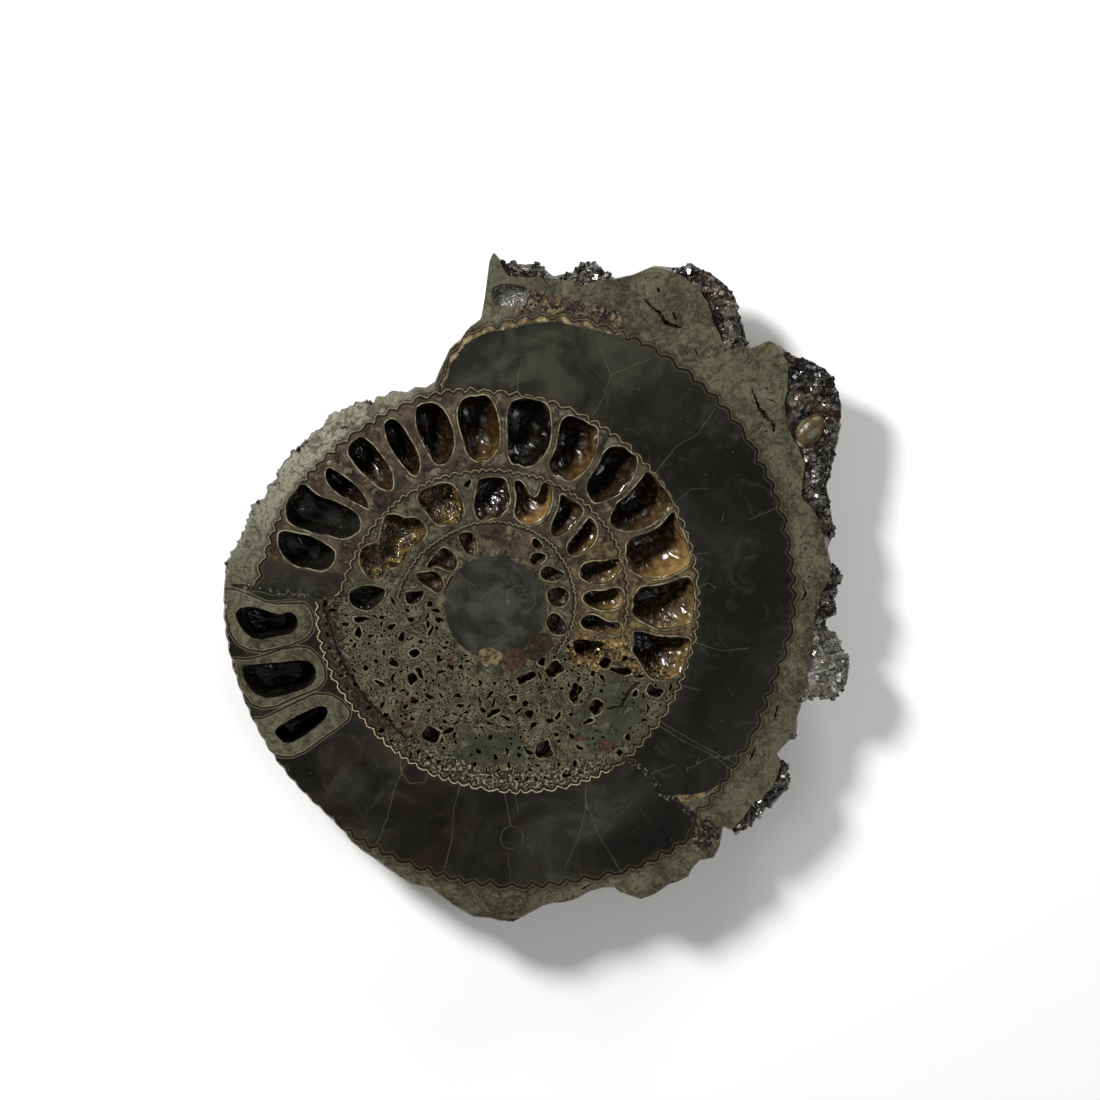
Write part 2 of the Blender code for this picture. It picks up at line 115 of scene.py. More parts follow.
# Angle and radius of the outermost edge, crust and lumps included
CRUST_EDGE = [
    (0, 92.1), (2.5, 91.8), (5, 94.2), (7.5, 91.8), (10, 91.5), (12.5, 94.2), (17.5, 95.0),
    (20, 95.6), (22.5, 98.8), (25, 102.1), (27.5, 105.8), (30, 108.8), (32.5, 110.2), (35, 111.0),
    (37.5, 109.1), (40, 105.8), (42.5, 104.8), (43.6, 104.4), (44.3, 103.6), (44.8, 100.6),
    (45.4, 98.2), (47.5, 100.4), (50, 102.9),
    (52.5, 106.7), (55, 107.7), (57.5, 108.0), (60, 106.7), (62.5, 103.7), (65, 102.1),
    (67.5, 97.5), (70, 94.8), (72.5, 95.9), (75, 95.6), (77.5, 92.9), (80, 91.0), (82.5, 93.7),
    (88.5, 93.2), (89.6, 95.0), (90.2, 96.4), (90.9, 94.3), (91.5, 88.0), (91.8, 84.8),
    (92.8, 78.3), (95, 76.4), (97.5, 73.2), (100, 71.0), (102.5, 67.0),
    (105, 63.2), (107.5, 62.4), (110, 63.5), (112.5, 62.9), (115, 64.5), (120, 65.1), (125, 67.0),
    (130, 68.9), (135, 68.0), (140, 68.9), (145, 69.4), (155, 69.4), (157.5, 71.3), (165, 71.6),
    (170, 73.7), (180, 73.7), (200, 72.6), (220, 72.4), (230, 72.4), (235, 73.2), (240, 75.1),
    (245, 75.9), (250, 77.5), (253, 78.6), (257, 78.3), (260, 80.2), (262.5, 82.1), (266, 84.3),
    (269, 84.5), (271, 85.3), (274, 85.0), (277, 83.2), (279, 82.1), (281, 81.8), (283, 82.3),
    (286, 82.1), (288, 81.3), (291, 81.5), (293, 82.6), (293.5, 84.2), (295, 86.4), (296.5, 88.6),
    (299, 89.1), (302, 88.8), (304, 89.6), (305.5, 89.9), (307, 88.8), (309, 88.3), (311, 90.2),
    (313, 89.1), (315, 86.9), (316, 85.9), (317, 89.6), (320, 91.3), (323, 91.0), (324, 92.6),
    (327, 92.9), (330, 91.5), (331.6, 89.1), (332.3, 86.1), (334, 86.7), (337.4, 88.6),
    (340, 87.2), (343, 87.2), (344, 89.6), (344.8, 92.3), (346.4, 96.1), (347.5, 97.7),
    (350, 97.7), (351.4, 95.6), (354.6, 93.7), (356, 90.7), (357.4, 89.4), (360, 92.1),
]

# Angle and width of the unpolished rim inside that edge
ROUGH_RIM = [
    (0, 5.1), (2.5, 3.2), (5, 3.2), (7.5, 0.8), (10, 0.6), (12.5, 3.2), (15, 3.8), (17.5, 5.4),
    (20, 7.6), (25, 9.5), (27.5, 13.2), (30, 16.2), (32.5, 16.7), (35, 15.4), (37.5, 9.2),
    (40, 2.4), (42.5, 0.9), (43.6, 0.4), (45.4, 0.4), (46.5, 1.6), (48, 8.2), (50, 7.8),
    (52.5, 9.5), (55, 7.3), (57.5, 5.9),
    (60, 3.8), (62.5, 1.1), (65, 0.5), (70, 0.5), (72.5, 3.2), (75, 5.7), (77.5, 2.4), (80, 0.5),
    (82.5, 4.0), (87.5, 3.8), (89.3, 0.6), (92.5, 0.5), (315, 0.5), (320, 3.2), (325, 3.8),
    (330, 2.7), (332.5, 0.5), (342.5, 1.0), (345, 6.2), (347.5, 11.6), (350, 11.3), (352.5, 8.6),
    (355, 6.8), (357.5, 3.0), (360, 5.1),
]

# Depths of the hollows in millimetres
THICK_WALLED_DEPTH = 11.0
OUTER_DEPTH = 8.5
INNER_DEPTH = 5.5
DARK_DEPTH = 9.0
OPEN_DEPTH = 5.0
HUB_CHAMBER_DEPTH = 3.4
CREVICE_DEPTH = 2.2

# Outlines, in millimetres about the coil axis, of the lined chambers in the outer and the inner ring
LINED_OUTER = [
    [(37.4, -6.8), (39, -6.6), (40.7, -6.9), (42.5, -7.6), (44.5, -8), (47, -8.1), (49.5, -8.1),
     (51.4, -8.3), (52.7, -8.6), (52.8, -9.6), (52.3, -11), (52.3, -12.4), (51.7, -13.5), (51.3, -15),
     (50.9, -16.4), (50.2, -17.6), (49.4, -18.6), (47.8, -19.4), (46, -19.8), (44.2, -19.6),
     (42.3, -19.3), (40.8, -17.8), (39.6, -15.7), (38.8, -14.1), (37.5, -12.8), (36.9, -11.4),
     (37.6, -10.2), (37.8, -9.4), (37.4, -8.2)],
    [(52.4, 8), (53.2, 7), (53.5, 5.5), (53.7, 3.7), (54, 2.4), (53.9, 1), (53.6, -0.6), (53.8, -2.2),
     (53.6, -3.5), (53, -4.3), (51.4, -5), (49.5, -5.5), (47.5, -5.8), (45.5, -6), (43.6, -5.7),
     (41.7, -4.9), (39.9, -4), (38.3, -3), (37.2, -2), (36.9, -1.2), (37.4, -0.2), (37.5, 0.7),
     (37.2, 2), (37.8, 3.2), (38.6, 4.4), (39.4, 5.4), (41, 5.5), (43, 5.6), (45.2, 6), (47.2, 6.6),
     (49.2, 7.4), (50.9, 8)],
    [(48.3, 25.8), (48.8, 24.9), (48.9, 22.9), (49.7, 21.4), (50.7, 20.3), (51, 18.9), (51.8, 17.5),
     (52, 15.9), (52.5, 14.5), (53, 13.3), (52.8, 11.7), (51.7, 10.8), (49.9, 9.7), (47.7, 8.5),
     (45.5, 7.8), (43, 7.6), (40.5, 8), (38.3, 9), (36.7, 10), (35.8, 11.1), (36.1, 12.3), (35.5, 13.3),
     (35.3, 14.4), (35.7, 15.6), (35.4, 16.6), (36.2, 18), (37.5, 19), (39.3, 19.5), (41.1, 20),
     (43, 20.8), (44.8, 22.1), (46.3, 23.8), (47.5, 25.3)],
    [(40.8, 36.6), (42.2, 36), (43.4, 34.8), (44.6, 33.1), (45.9, 31.5), (46.9, 29.9), (47.9, 28.4),
     (47.8, 27.1), (46.4, 25.8), (44.7, 24.3), (42.8, 22.7), (41, 21.7), (39, 21.1), (36.6, 20.6),
     (34.9, 20.5), (33, 21.2), (31.3, 22.2), (31.1, 23.6), (31.5, 25), (32.3, 26.6), (33, 28.2),
     (34.4, 29), (35.5, 29.9), (36.7, 31.3), (38, 32.6), (38.9, 33.8), (40, 35.1)],
    [(30.9, 43.1), (32.5, 43.4), (34.8, 43.2), (35.8, 42.2), (36.9, 41.3), (38.2, 40.6), (38.4, 38.9),
     (37.7, 36.5), (36.5, 34), (35, 31.8), (33.1, 30.4), (30.5, 29.1), (28.3, 28.3), (27, 28.1),
     (25.9, 29.1), (25, 30.8), (24.7, 32.6), (25.4, 34.6), (26.6, 36.4), (27.9, 38.3), (28.8, 40.3),
     (29.6, 41.9)],
    [(18.2, 50.6), (19.4, 51.5), (20.9, 51.6), (22.5, 50.9), (24.2, 50.3), (25.4, 49.2), (27.1, 48.8),
     (27.7, 47.7), (27.5, 44.5), (26.9, 41.6), (25.7, 38.9), (24.2, 36.8), (22.4, 35.3), (20.6, 34.2),
     (19.3, 34), (18.2, 34.9), (16.9, 34.9), (15.4, 36.4), (14.6, 37.9), (14.7, 39.3), (15.8, 41.2),
     (16.7, 43.4), (17.1, 46), (17.5, 48.8)],
    [(4.4, 55.3), (6.3, 56.1), (8.8, 56.4), (10.2, 55.9), (12.8, 55.4), (13.9, 54.6), (14.8, 52.8),
     (15.1, 49.5), (15, 46), (14.5, 43.5), (13.4, 41.4), (12, 39.5), (10.2, 38.3), (8.2, 37.8),
     (7.2, 38.1), (6.2, 38.9), (5.1, 38.4), (3.9, 39.9), (3.5, 43), (3.4, 47), (3.3, 50.5), (3.6, 53.3)],
    [(-9.6, 54.8), (-8.6, 56.1), (-6.8, 57), (-5.2, 56.6), (-3.8, 57.2), (-2.2, 57.1), (-1, 55.8),
     (0.1, 53.5), (0.8, 51), (1.2, 48), (1.2, 45), (0.8, 43.2), (-0.3, 41.5), (-1.6, 40.1),
     (-2.5, 39.5), (-3.6, 39.9), (-4.8, 39.2), (-6, 39.9), (-7.1, 41), (-7.9, 42.4), (-8.3, 44.6),
     (-9.2, 47.4), (-9.9, 50), (-10.1, 52.5)],
    [(-21.3, 53.6), (-20.6, 54.3), (-19.2, 54.9), (-17.2, 55.2), (-15.6, 54.7), (-14, 53.3),
     (-12.6, 51.1), (-11.6, 48.4), (-11.1, 45.7), (-11.1, 43.4), (-11.6, 41.3), (-12.6, 39.4),
     (-13.9, 38.6), (-15.4, 38.4), (-16.5, 39.1), (-17.3, 40.7), (-18.6, 42.8), (-19.7, 45.1),
     (-20.6, 47), (-21.2, 49), (-21.4, 51.5)],
    [(-30, 49), (-29.3, 50.2), (-28, 50.9), (-26.7, 50.5), (-25.4, 49.3), (-24.1, 47.3), (-22.8, 45.1),
     (-21.5, 42.9), (-20.6, 40.8), (-20.3, 38.5), (-20.6, 36.4), (-21.3, 35.3), (-22.3, 35.6),
     (-23.4, 36.8), (-24.8, 38.3), (-26.1, 40), (-27.5, 42), (-28.7, 44.2), (-29.5, 46.4)],
    [(-39.7, 42.3), (-39.1, 44.1), (-38, 44.9), (-36.8, 45.9), (-35.8, 46), (-34.6, 45.1), (-33, 43.8),
     (-31.7, 42.2), (-30.3, 40.3), (-28.8, 38.3), (-27.8, 36.4), (-27.6, 34.5), (-27.5, 32.8),
     (-27.9, 31.6), (-29.3, 31.6), (-31, 32.2), (-32.6, 33.4), (-34.4, 35), (-36, 36.4), (-37.4, 38),
     (-38.7, 39.9), (-39.6, 41.1)],
    [(-45.7, 36.5), (-45.2, 37.6), (-44.6, 37.7), (-43, 36.7), (-41.5, 35.7), (-40.3, 34.9),
     (-38.9, 33.9), (-37.2, 32.4), (-35.6, 30.5), (-34.6, 28.7), (-34.1, 27.2), (-34, 26.3),
     (-34.9, 26.8), (-36.5, 27.7), (-38.4, 28.6), (-40.4, 29.5), (-42.2, 30.5), (-43.8, 31.9),
     (-45.1, 33.4), (-45.8, 35)],
]
LINED_INNER = [
    [(20.9, -9.4), (21.7, -8.9), (23, -8.7), (24.6, -8.7), (26, -9.2), (27.8, -9.1), (29.6, -9.5),
     (30.1, -10.6), (29.3, -12), (28, -13.4), (26.5, -14.2), (24.6, -14), (23, -13.4), (21.7, -12.3),
     (21.2, -10.9)],
    [(23, -4.2), (23.5, -3.2), (24.3, -2.5), (25.5, -2.1), (27, -2.2), (28.5, -2.9), (29.8, -3.8),
     (31.5, -4.2), (33.1, -4), (34.2, -4.9), (34.4, -6.2), (33.5, -7.3), (31.9, -7.9), (30, -7.5),
     (28.3, -6.8), (26.5, -6.3), (24.9, -6.1), (23.7, -5.4)],
    [(23.6, 2.3), (24.1, 3.3), (25.2, 4.1), (26.6, 4.4), (28.4, 4.3), (30.2, 4.6), (32, 5.2),
     (33.6, 5.2), (34.6, 4.2), (34.8, 2.5), (34.7, 0.9), (33.7, -0.1), (32, -0.6), (30, -0.9),
     (28, -0.7), (26.2, 0), (25, 0.7), (24.1, 1.3)],
    [(22.9, 9), (23.1, 10.4), (24, 11.6), (25.4, 12.1), (27, 12.4), (28.6, 12.2), (30.2, 12.5),
     (31.8, 12.9), (33.2, 13.2), (34.1, 12.3), (34.3, 11), (33.5, 9.6), (32.2, 8.2), (31, 7),
     (29.4, 6.3), (27.5, 6.2), (25.7, 6.6), (24.3, 7.2), (23.2, 7.8)],
    [(25.5, 24.3), (26.6, 23.2), (27.6, 21.2), (27.4, 19), (26.6, 17.3), (25.2, 15.8), (23.4, 14.5),
     (21.6, 13.8), (20.2, 14), (19.4, 15.3), (19.6, 17), (20.8, 18.5), (22.4, 20.2), (24, 22.4)],
    [(17.6, 30.4), (18.5, 30.2), (19.9, 29.4), (21.4, 28.5), (22.9, 27.4), (23.8, 26.5), (23.9, 25.7),
     (23.1, 24.4), (22, 22.9), (20.8, 21.4), (19.2, 20.2), (17.5, 19.2), (15.9, 18.9), (15.3, 19.6),
     (15, 20.8), (15.3, 22.3), (16, 24), (16.8, 25.6), (17.4, 27.3), (17.6, 29)],
    [(5.4, 34.1), (6.5, 34.3), (7.7, 33.3), (8.4, 32), (9.2, 30.3), (10.5, 29.3), (11.6, 30),
     (12.2, 31.4), (12.4, 32.6), (12.8, 33.5), (13.8, 33.6), (15, 32.8), (15.4, 31), (15.3, 28.5),
     (14.7, 26.4), (13.7, 24.5), (12.3, 23.1), (10.7, 22.3), (9, 21.9), (7.9, 22.5), (6.8, 23.2),
     (5.4, 24.4), (5.2, 25.6), (5.6, 27.5), (5.9, 30), (5.3, 32)],
    [(-4.8, 33.4), (-4.3, 34.4), (-2.8, 34.8), (-1, 35), (1, 35), (2.7, 34.6), (3.2, 33.4), (3.6, 31.5),
     (4, 29.6), (3.9, 27.9), (3.1, 26.5), (2.1, 25.3), (1.2, 24.3), (0.2, 24), (-0.8, 24.3),
     (-1.6, 23.5), (-2.8, 23.9), (-3.8, 23.3), (-4.7, 24.1), (-5.4, 25.5), (-5.7, 27.3), (-5.4, 29.5),
     (-4.9, 31.5)],
]
# Hollows without a lining: two smooth black ones, the drusy ones, and the small ones round the hub
DARK_SMOOTH = [
    [(-52.9, 33), (-51.3, 33.2), (-50.1, 32), (-48.2, 30.3), (-46.2, 29.4), (-44, 28.9), (-42.2, 28.1),
     (-40.4, 27.2), (-38.6, 26.2), (-37.2, 25.1), (-36.5, 23.7), (-36.3, 21.6), (-36.9, 20.3),
     (-38.3, 19.5), (-39.7, 18.7), (-41.5, 18.4), (-43.4, 18.9), (-45, 19.6), (-47, 19.6), (-49, 20),
     (-51, 20.9), (-53, 21.4), (-54.6, 22.2), (-55.9, 23.3), (-56.4, 24.9), (-56.5, 27), (-55.8, 29.1),
     (-54.2, 30.8)],
    [(-58.4, 20), (-56.8, 20.6), (-55, 20.2), (-52.6, 19.7), (-50, 19.2), (-47.6, 18.1), (-45.3, 16.7),
     (-43.8, 15.6), (-43.1, 14.6), (-43.4, 13), (-44, 11.5), (-45.1, 10.5), (-46.5, 9.8), (-48.5, 10),
     (-50.3, 10.6), (-52.5, 10.8), (-54.3, 11.4), (-55.6, 12.4), (-57, 13.8), (-58.1, 15.6),
     (-58.6, 17.6)],
]
OPEN_INNER = [
    [(-20.8, 30.4), (-19.6, 31.6), (-18, 32.2), (-16.2, 32.9), (-14.6, 33.5), (-12.7, 33.4),
     (-11.1, 32.6), (-10, 30.8), (-9.1, 28.9), (-8.6, 27), (-8.4, 25), (-8.8, 23.6), (-9.7, 22.7),
     (-10.9, 21.9), (-12.4, 22.4), (-13.7, 22.2), (-15, 22), (-16.2, 22.8), (-17.3, 23.9),
     (-18.3, 25.5), (-19.7, 26.9), (-20.8, 28.6)],
    [(-29.8, 23.9), (-29.2, 25.1), (-27.6, 25), (-25.8, 24.8), (-24.5, 23.9), (-22.6, 24.2),
     (-21.1, 24), (-19.7, 23), (-18.8, 21.5), (-18.4, 19.9), (-19.3, 18.5), (-20.6, 17.4), (-22.2, 16),
     (-23.7, 14.5), (-24.4, 12.9), (-25.5, 11.6), (-26.9, 10.7), (-28.8, 10.5), (-30.1, 9),
     (-30.4, 7.7), (-31.7, 7.3), (-33.2, 7.3), (-34.3, 8.1), (-35.4, 9.6), (-36.4, 11.3), (-36.6, 13.4),
     (-36.1, 15.6), (-34.9, 16.5), (-33.4, 17), (-31.7, 17.4), (-31, 18.6), (-30.8, 20.4),
     (-30.4, 22.4)],
]
DARK_OPEN = [
    [(-39, 4.4), (-37.6, 5), (-36, 5.6), (-34, 5.8), (-32.3, 5.6), (-30.7, 5.2), (-29.5, 4.5), (-30, 3),
     (-30.6, 1.6), (-31.8, 0.6), (-33.1, -0.5), (-34.4, -1), (-36, -0.7), (-37.8, 0), (-38.8, 0.9),
     (-39.5, 2.2)],
]
HUB_CHAMBERS = [
    [(12.2, 9.4), (12.9, 10.5), (14.2, 11.1), (15.6, 10.7), (17.2, 9.9), (18.6, 9.1), (18.8, 8.5),
     (17.8, 7.7), (16.3, 7), (14.5, 7), (13.3, 7.4), (12.4, 8)],
    [(14.1, 4.1), (15, 5), (16.4, 5.3), (17.9, 5.3), (19.2, 4.6), (20, 3.5), (19.8, 1.9), (18.9, 0.5),
     (17.3, 0), (15.7, 0.3), (14.7, 1.3), (14.1, 2.7)],
    [(13.9, -3.6), (14.6, -2.3), (15.7, -1.5), (17, -1.9), (18, -3), (19, -4.3), (19.6, -6),
     (19.3, -7.2), (17.9, -7.5), (16.1, -7.4), (14.9, -6.6), (14, -5.2)],
    [(9.4, 12.8), (9.9, 14.2), (11, 14.7), (12.6, 14.5), (14, 14), (13.6, 12.9), (12.4, 11.9),
     (11.2, 11.3), (10.3, 11.1), (9.7, 11.8)],
    [(10.2, 18.6), (11.1, 18.6), (12.3, 17.4), (13.2, 16.2), (12.4, 15.7), (11, 15.7), (10.1, 16.2),
     (10, 17.4)],
    [(-9.9, 19.2), (-9.2, 19.9), (-8, 20.2), (-6.7, 20.3), (-5.6, 19.2), (-5.1, 17.7), (-4.9, 16),
     (-5, 14.6), (-5.6, 13.9), (-6.6, 13.9), (-7.5, 14.4), (-8.4, 15.6), (-9.4, 17.3)],
    [(-18.5, 10.6), (-18, 12), (-16.8, 13.3), (-15.3, 14.8), (-14.5, 16), (-13.3, 16), (-12.2, 15.2),
     (-11, 14.3), (-10.3, 13.1), (-10.1, 11.8), (-10.6, 10.5), (-11.4, 9.8), (-12.7, 9.8),
     (-14.2, 10.6), (-15.8, 11.2), (-17.4, 10.6)],
    [(-18.8, 9.3), (-17.5, 9.7), (-16, 9.5), (-14.9, 8.7), (-14.2, 7.5), (-14, 6), (-14.3, 4.6),
     (-15, 3.8), (-16, 3.8), (-17.4, 5), (-18.9, 5.9), (-20.4, 7), (-21.4, 8.3), (-21.3, 9.1),
     (-20.2, 9.3)],
    [(-24.1, 4), (-22.6, 4.3), (-21, 4.1), (-19.7, 4.6), (-19, 4), (-19.9, 2.2), (-21, 1.1), (-22, 0.5),
     (-23.4, 0.7), (-24, 1.5), (-24.2, 3)],
]
# Patches of the face: olive pyrite in the corners between chambers, a wedge of tan shell,
# a black band, gold druse, and the crust and pale wedge at the lower right
OLIVE_WEDGES = [
    [(0.7, 38.8), (2.6, 38.6), (3, 40.4), (2.7, 41.3), (1.7, 40.8)],
    [(12.2, 37), (13.4, 35.6), (14.6, 35.8), (14.1, 37), (13.6, 38.4)],
    [(17.3, 54.2), (17.4, 51.4), (18, 51.6), (19.3, 52.1), (20.4, 52.4), (19, 53.2)],
    [(30.4, 44.2), (32.8, 44.1), (33.2, 45.3), (31.6, 46.4), (30.2, 45.4)],
    [(38.9, 35.2), (40, 36), (40.4, 37.5), (39.4, 39), (39, 37.4)],
    [(-18, 35.6), (-16.8, 37.4), (-14.7, 37.6), (-14.6, 35.8), (-16.2, 35.4)],
    [(-24.2, 36), (-22.8, 34.8), (-21.4, 34.6), (-21.2, 33.4), (-22.2, 33.2), (-24, 34.9)],
    [(3.4, 36.4), (5.5, 37), (7.5, 36.6), (9.6, 34.6), (12, 34.2), (11.6, 32.2), (11, 30.6), (10.3, 30),
     (9.7, 30.8), (9, 32.8), (7.6, 34.3), (6, 35), (4.3, 34.8)],
]
SHELL_WEDGE = [
    (-45.6, 38.4), (-45.2, 39.6), (-44.2, 39.8), (-42.8, 39), (-41.2, 37.4), (-40.6, 36.2), (-42, 36.6),
    (-43.4, 37.5), (-44.4, 38.3),
]
FAULT_BAND = [
    (-71.5, 6.3), (-65.2, 6), (-56.3, 4.8), (-48.6, 3.8), (-44.4, 2.2), (-44.8, 1.3), (-48.5, 2.5),
    (-56.3, 3.1), (-64, 4.2), (-70.5, 5.2),
]
GOLD_DRUSE = [
    (19.6, -10), (20.4, -8.2), (23, -7.6), (27, -7.8), (31, -8.7), (35, -8.4), (36.6, -9.4),
    (36, -11.6), (38, -14.3), (39.4, -17), (41, -19.2), (39, -20), (36.6, -18), (34.6, -15.4),
    (31.4, -14), (29, -16.2), (27, -17.6), (23, -16.6), (19.8, -15), (18.8, -12.5),
]
LOWER_CRUST = [
    (48.2, -52.4), (52, -52.2), (57, -51), (61.8, -48), (62.6, -49.6), (59.4, -54), (55.4, -58.2),
    (52.6, -55.8),
]
LOWER_WEDGE = [
    (46.8, -51.6), (49, -50.7), (53, -50.7), (57, -49.9), (60.8, -47.9), (57.4, -51.2), (52, -52.4),
    (48.4, -52.6),
]
# Small pits and the recess behind the lip: start and end angle, inner and outer radius,
# bow of the sides, depth
VUGS = [
    (286, 300, 19.9, 22.0, -3, 3.4), (308, 320, 21.3, 25.2, 2, 3.4), (207.5, 212.5, 23.8, 26.4, 0, 3.4),
    (218.5, 223.5, 28.2, 31.0, 1, 3.4), (240, 247, 36.7, 40.3, 0, 3.4),
    (286, 292, 38.6, 43.0, 1, 3.4), (310.5, 317.5, 30.2, 32.6, 1, 3.4),
    (312.5, 318.5, 36.7, 40.1, 0, 3.4), (330.5, 336, 32.2, 34.8, 1, 3.4),
    (330.8, 334, 46.4, 50.6, 1, 3.4),
]
LIP_RECESS = [(84, 90.6, 80.9, 87.3, 0, 3.0)]
# Outlines of the three thick-walled chambers and of their pyrite walls
THICK_HOLES = [
    [(-70.2, -2), (-69.1, -0.3), (-66.5, 0.2), (-63.7, -0.2), (-61, -1.2), (-58.3, -2.1),
     (-55.9, -1.2), (-54.1, -1.8), (-53.2, -3.8), (-53.7, -6), (-55.5, -7.4), (-57.7, -7.7),
     (-60.2, -8.2), (-62.9, -8.8), (-65.7, -8.4), (-67.7, -6.7), (-69.3, -4.5)],
    [(-68.3, -15.9), (-65.7, -15.5), (-61.4, -15.1), (-57.1, -14.8), (-52.8, -14.3), (-49.9, -14.6),
     (-48.4, -16.6), (-48.3, -19.1), (-49.4, -21), (-52, -22.3), (-55.1, -23.3), (-58.7, -24.3),
     (-62.2, -24.6), (-65, -23.3), (-67.1, -20.8), (-68.2, -18.5)],
    [(-59.7, -33.8), (-58.3, -32.1), (-55.9, -30.7), (-52.8, -29.1), (-49.7, -27.6), (-47, -26.6),
     (-45.2, -27.2), (-45.1, -28.8), (-46.3, -30.8), (-48.9, -32.9), (-51.6, -34.9), (-54.4, -36.5),
     (-56.7, -36.8), (-58.5, -35.5)],
]
THICK_WALLS = [
    [(-72.8, 5.2), (-69.6, 4.6), (-66.1, 3.2), (-62.6, 1.6), (-58.7, 0.8), (-54.8, 1), (-51.5, 1),
     (-49.9, -0.3), (-48.8, -3.3), (-49.1, -6.4), (-50.9, -8.5), (-54.1, -9.9), (-58.3, -11),
     (-62.6, -12.1), (-66.5, -11.6), (-69.6, -9.9), (-71.6, -6.8), (-72.7, -1.4)],
    [(-70.7, -13.8), (-67.2, -14.1), (-62.6, -13.2), (-58.3, -11.6), (-53.8, -10.7), (-50.5, -10.9),
     (-47.9, -12.9), (-46, -16.2), (-45.7, -19.3), (-47.1, -21.6), (-50.9, -23.3), (-55.1, -24.9),
     (-59, -26.8), (-62.6, -27.4), (-65.8, -26.3), (-68, -23.3), (-69.7, -19.3)],
    [(-65.8, -30.1), (-62.6, -30.1), (-58.7, -28.2), (-53.8, -25.8), (-48.9, -23.5), (-45, -23.5),
     (-41.5, -25.2), (-39, -28.3), (-39.5, -30.4), (-42.7, -32.9), (-47, -35.8), (-50.9, -38.8),
     (-54.8, -40.5), (-58.3, -40.4), (-61.1, -38.4), (-63.5, -34.9)],
]

# Irregular holes of the rotten part: x, y, half length, half width, lie, depth
RAGGED_VUGS = [
    (21.4, -23.4, 1.3, 2.3, 0, 2.6), (34.2, -17.3, 2.5, 1.2, -14, 3.0), (37.9, -23.4, 1.0, 0.7, 30, 2.4),
    (-0.4, -28.5, 1.7, 0.9, 30, 2.4), (9.3, -28.9, 1.0, 1.4, 20, 2.4), (35.2, -13.9, 1.0, 0.7, 40, 2.4),
    (35.9, -35.2, 0.9, 0.8, 0, 2.0), (17.0, -29.5, 1.1, 0.7, 60, 2.2), (-17.5, -24.4, 1.5, 0.8, -35, 2.4),
    (-25.2, -8.2, 0.8, 1.4, -30, 2.4), (-28.0, -5.4, 1.2, 0.7, 50, 2.4), (-20.4, -17.6, 1.6, 0.8, -50, 2.4),
    (-27.4, -15.0, 1.0, 1.5, 20, 2.4), (-31.0, -20.6, 1.4, 0.7, -30, 2.4), (-12.5, -33.4, 1.4, 0.8, 15, 2.4),
    (-36.2, -3.3, 2.2, 0.7, -5, 3.0), (-36.9, -6.8, 0.8, 1.6, -15, 3.0), (-16.0, -1.0, 1.2, 0.6, 0, 2.4),
    (25.2, -30.8, 1.3, 0.6, 20, 2.0), (5.0, -24.6, 1.4, 0.7, -10, 2.0), (-17.4, -6.6, 0.5, 1.3, -25, 2.4),
    (-7.4, 33.2, 0.7, 1.3, -20, 2.4), (-33.5, -7.8, 1.0, 0.4, 0, 2.0), (12.6, -14.8, 1.2, 0.9, 20, 3.0),
]
# Crevices of the crust: points along each, and half its width
CREVICES = [
    ([(32.2, 88.8), (32.9, 89.8), (33.9, 89.9), (35.4, 89.3), (37.1, 89.3), (38.5, 90.0)], 0.55),
    ([(56.2, 90.6), (57.7, 90.0), (59.0, 89.5), (59.7, 90.1), (60.9, 91.1), (62.5, 91.3)], 0.5),
    ([(57.8, 91.6), (58.3, 92.3), (58.9, 93.0)], 0.45), ([(51.2, 87.4), (52.3, 88.1)], 0.25),
    ([(62.4, 95.7), (63.0, 97.0)], 0.35), ([(36.0, 94.0), (37.5, 92.4)], 0.2),
    ([(338, 81.4), (341, 80.8)], 0.22),
    ([(1, 82.8), (2.5, 84.0), (4, 83.3)], 0.25), ([(328.6, 80.4), (332, 79.8)], 0.25),
    ([(22, 85.5), (22.8, 87.0)], 0.22), ([(287, 79.8), (289, 79.2)], 0.25),
    ([(129, 62.6), (131, 64.0)], 0.2),
]
# Rust spots: x, y, half length, half width
RUST_SPOTS = [
    (30.0, -37.8, 2.2, 1.7), (23.2, -35.6, 3.0, 0.6), (-24.0, -31.8, 1.9, 1.2), (-12.0, -15.6, 1.0, 1.6),
]
# Unbroken patches of the rotten pyrite: start and end angle, inner and outer radius
SMOOTH_PATCHES = [(303, 330, 35.5, 49.5), (254, 281, 34, 42.5)]

# Walls of the pits: material, crystals (size, height, count), lean towards the floor, rows
BARE_WALL = (0, (0, 0, 0), (0.0, 0.0), 3)
HIDDEN_WALL = (1, (0, 0, 0), (0.0, 0.0), 3)
THICK_WALL = (1, (0.9, 0.4, 70), (-0.9, 0.6), 11)
DARK_WALL = (1, (1.6, 0.5, 16), (-1.3, 1.0), 10)
DARK_OPEN_WALL = (1, (0.7, 0.5, 90), (-1.2, 0.9), 9)
DRUSY_WALL = (2, (0.5, 0.55, 190), (-1.4, 1.0), 9)
HUB_WALL = (0, (0.7, 0.45, 60), (-0.7, 0.5), 8)
VUG_WALL = (0, (0.4, 0.3, 30), (-0.4, 0.3), 5)
RECESS_WALL = (3, (0.5, 0.35, 50), (-0.5, 0.3), 7)
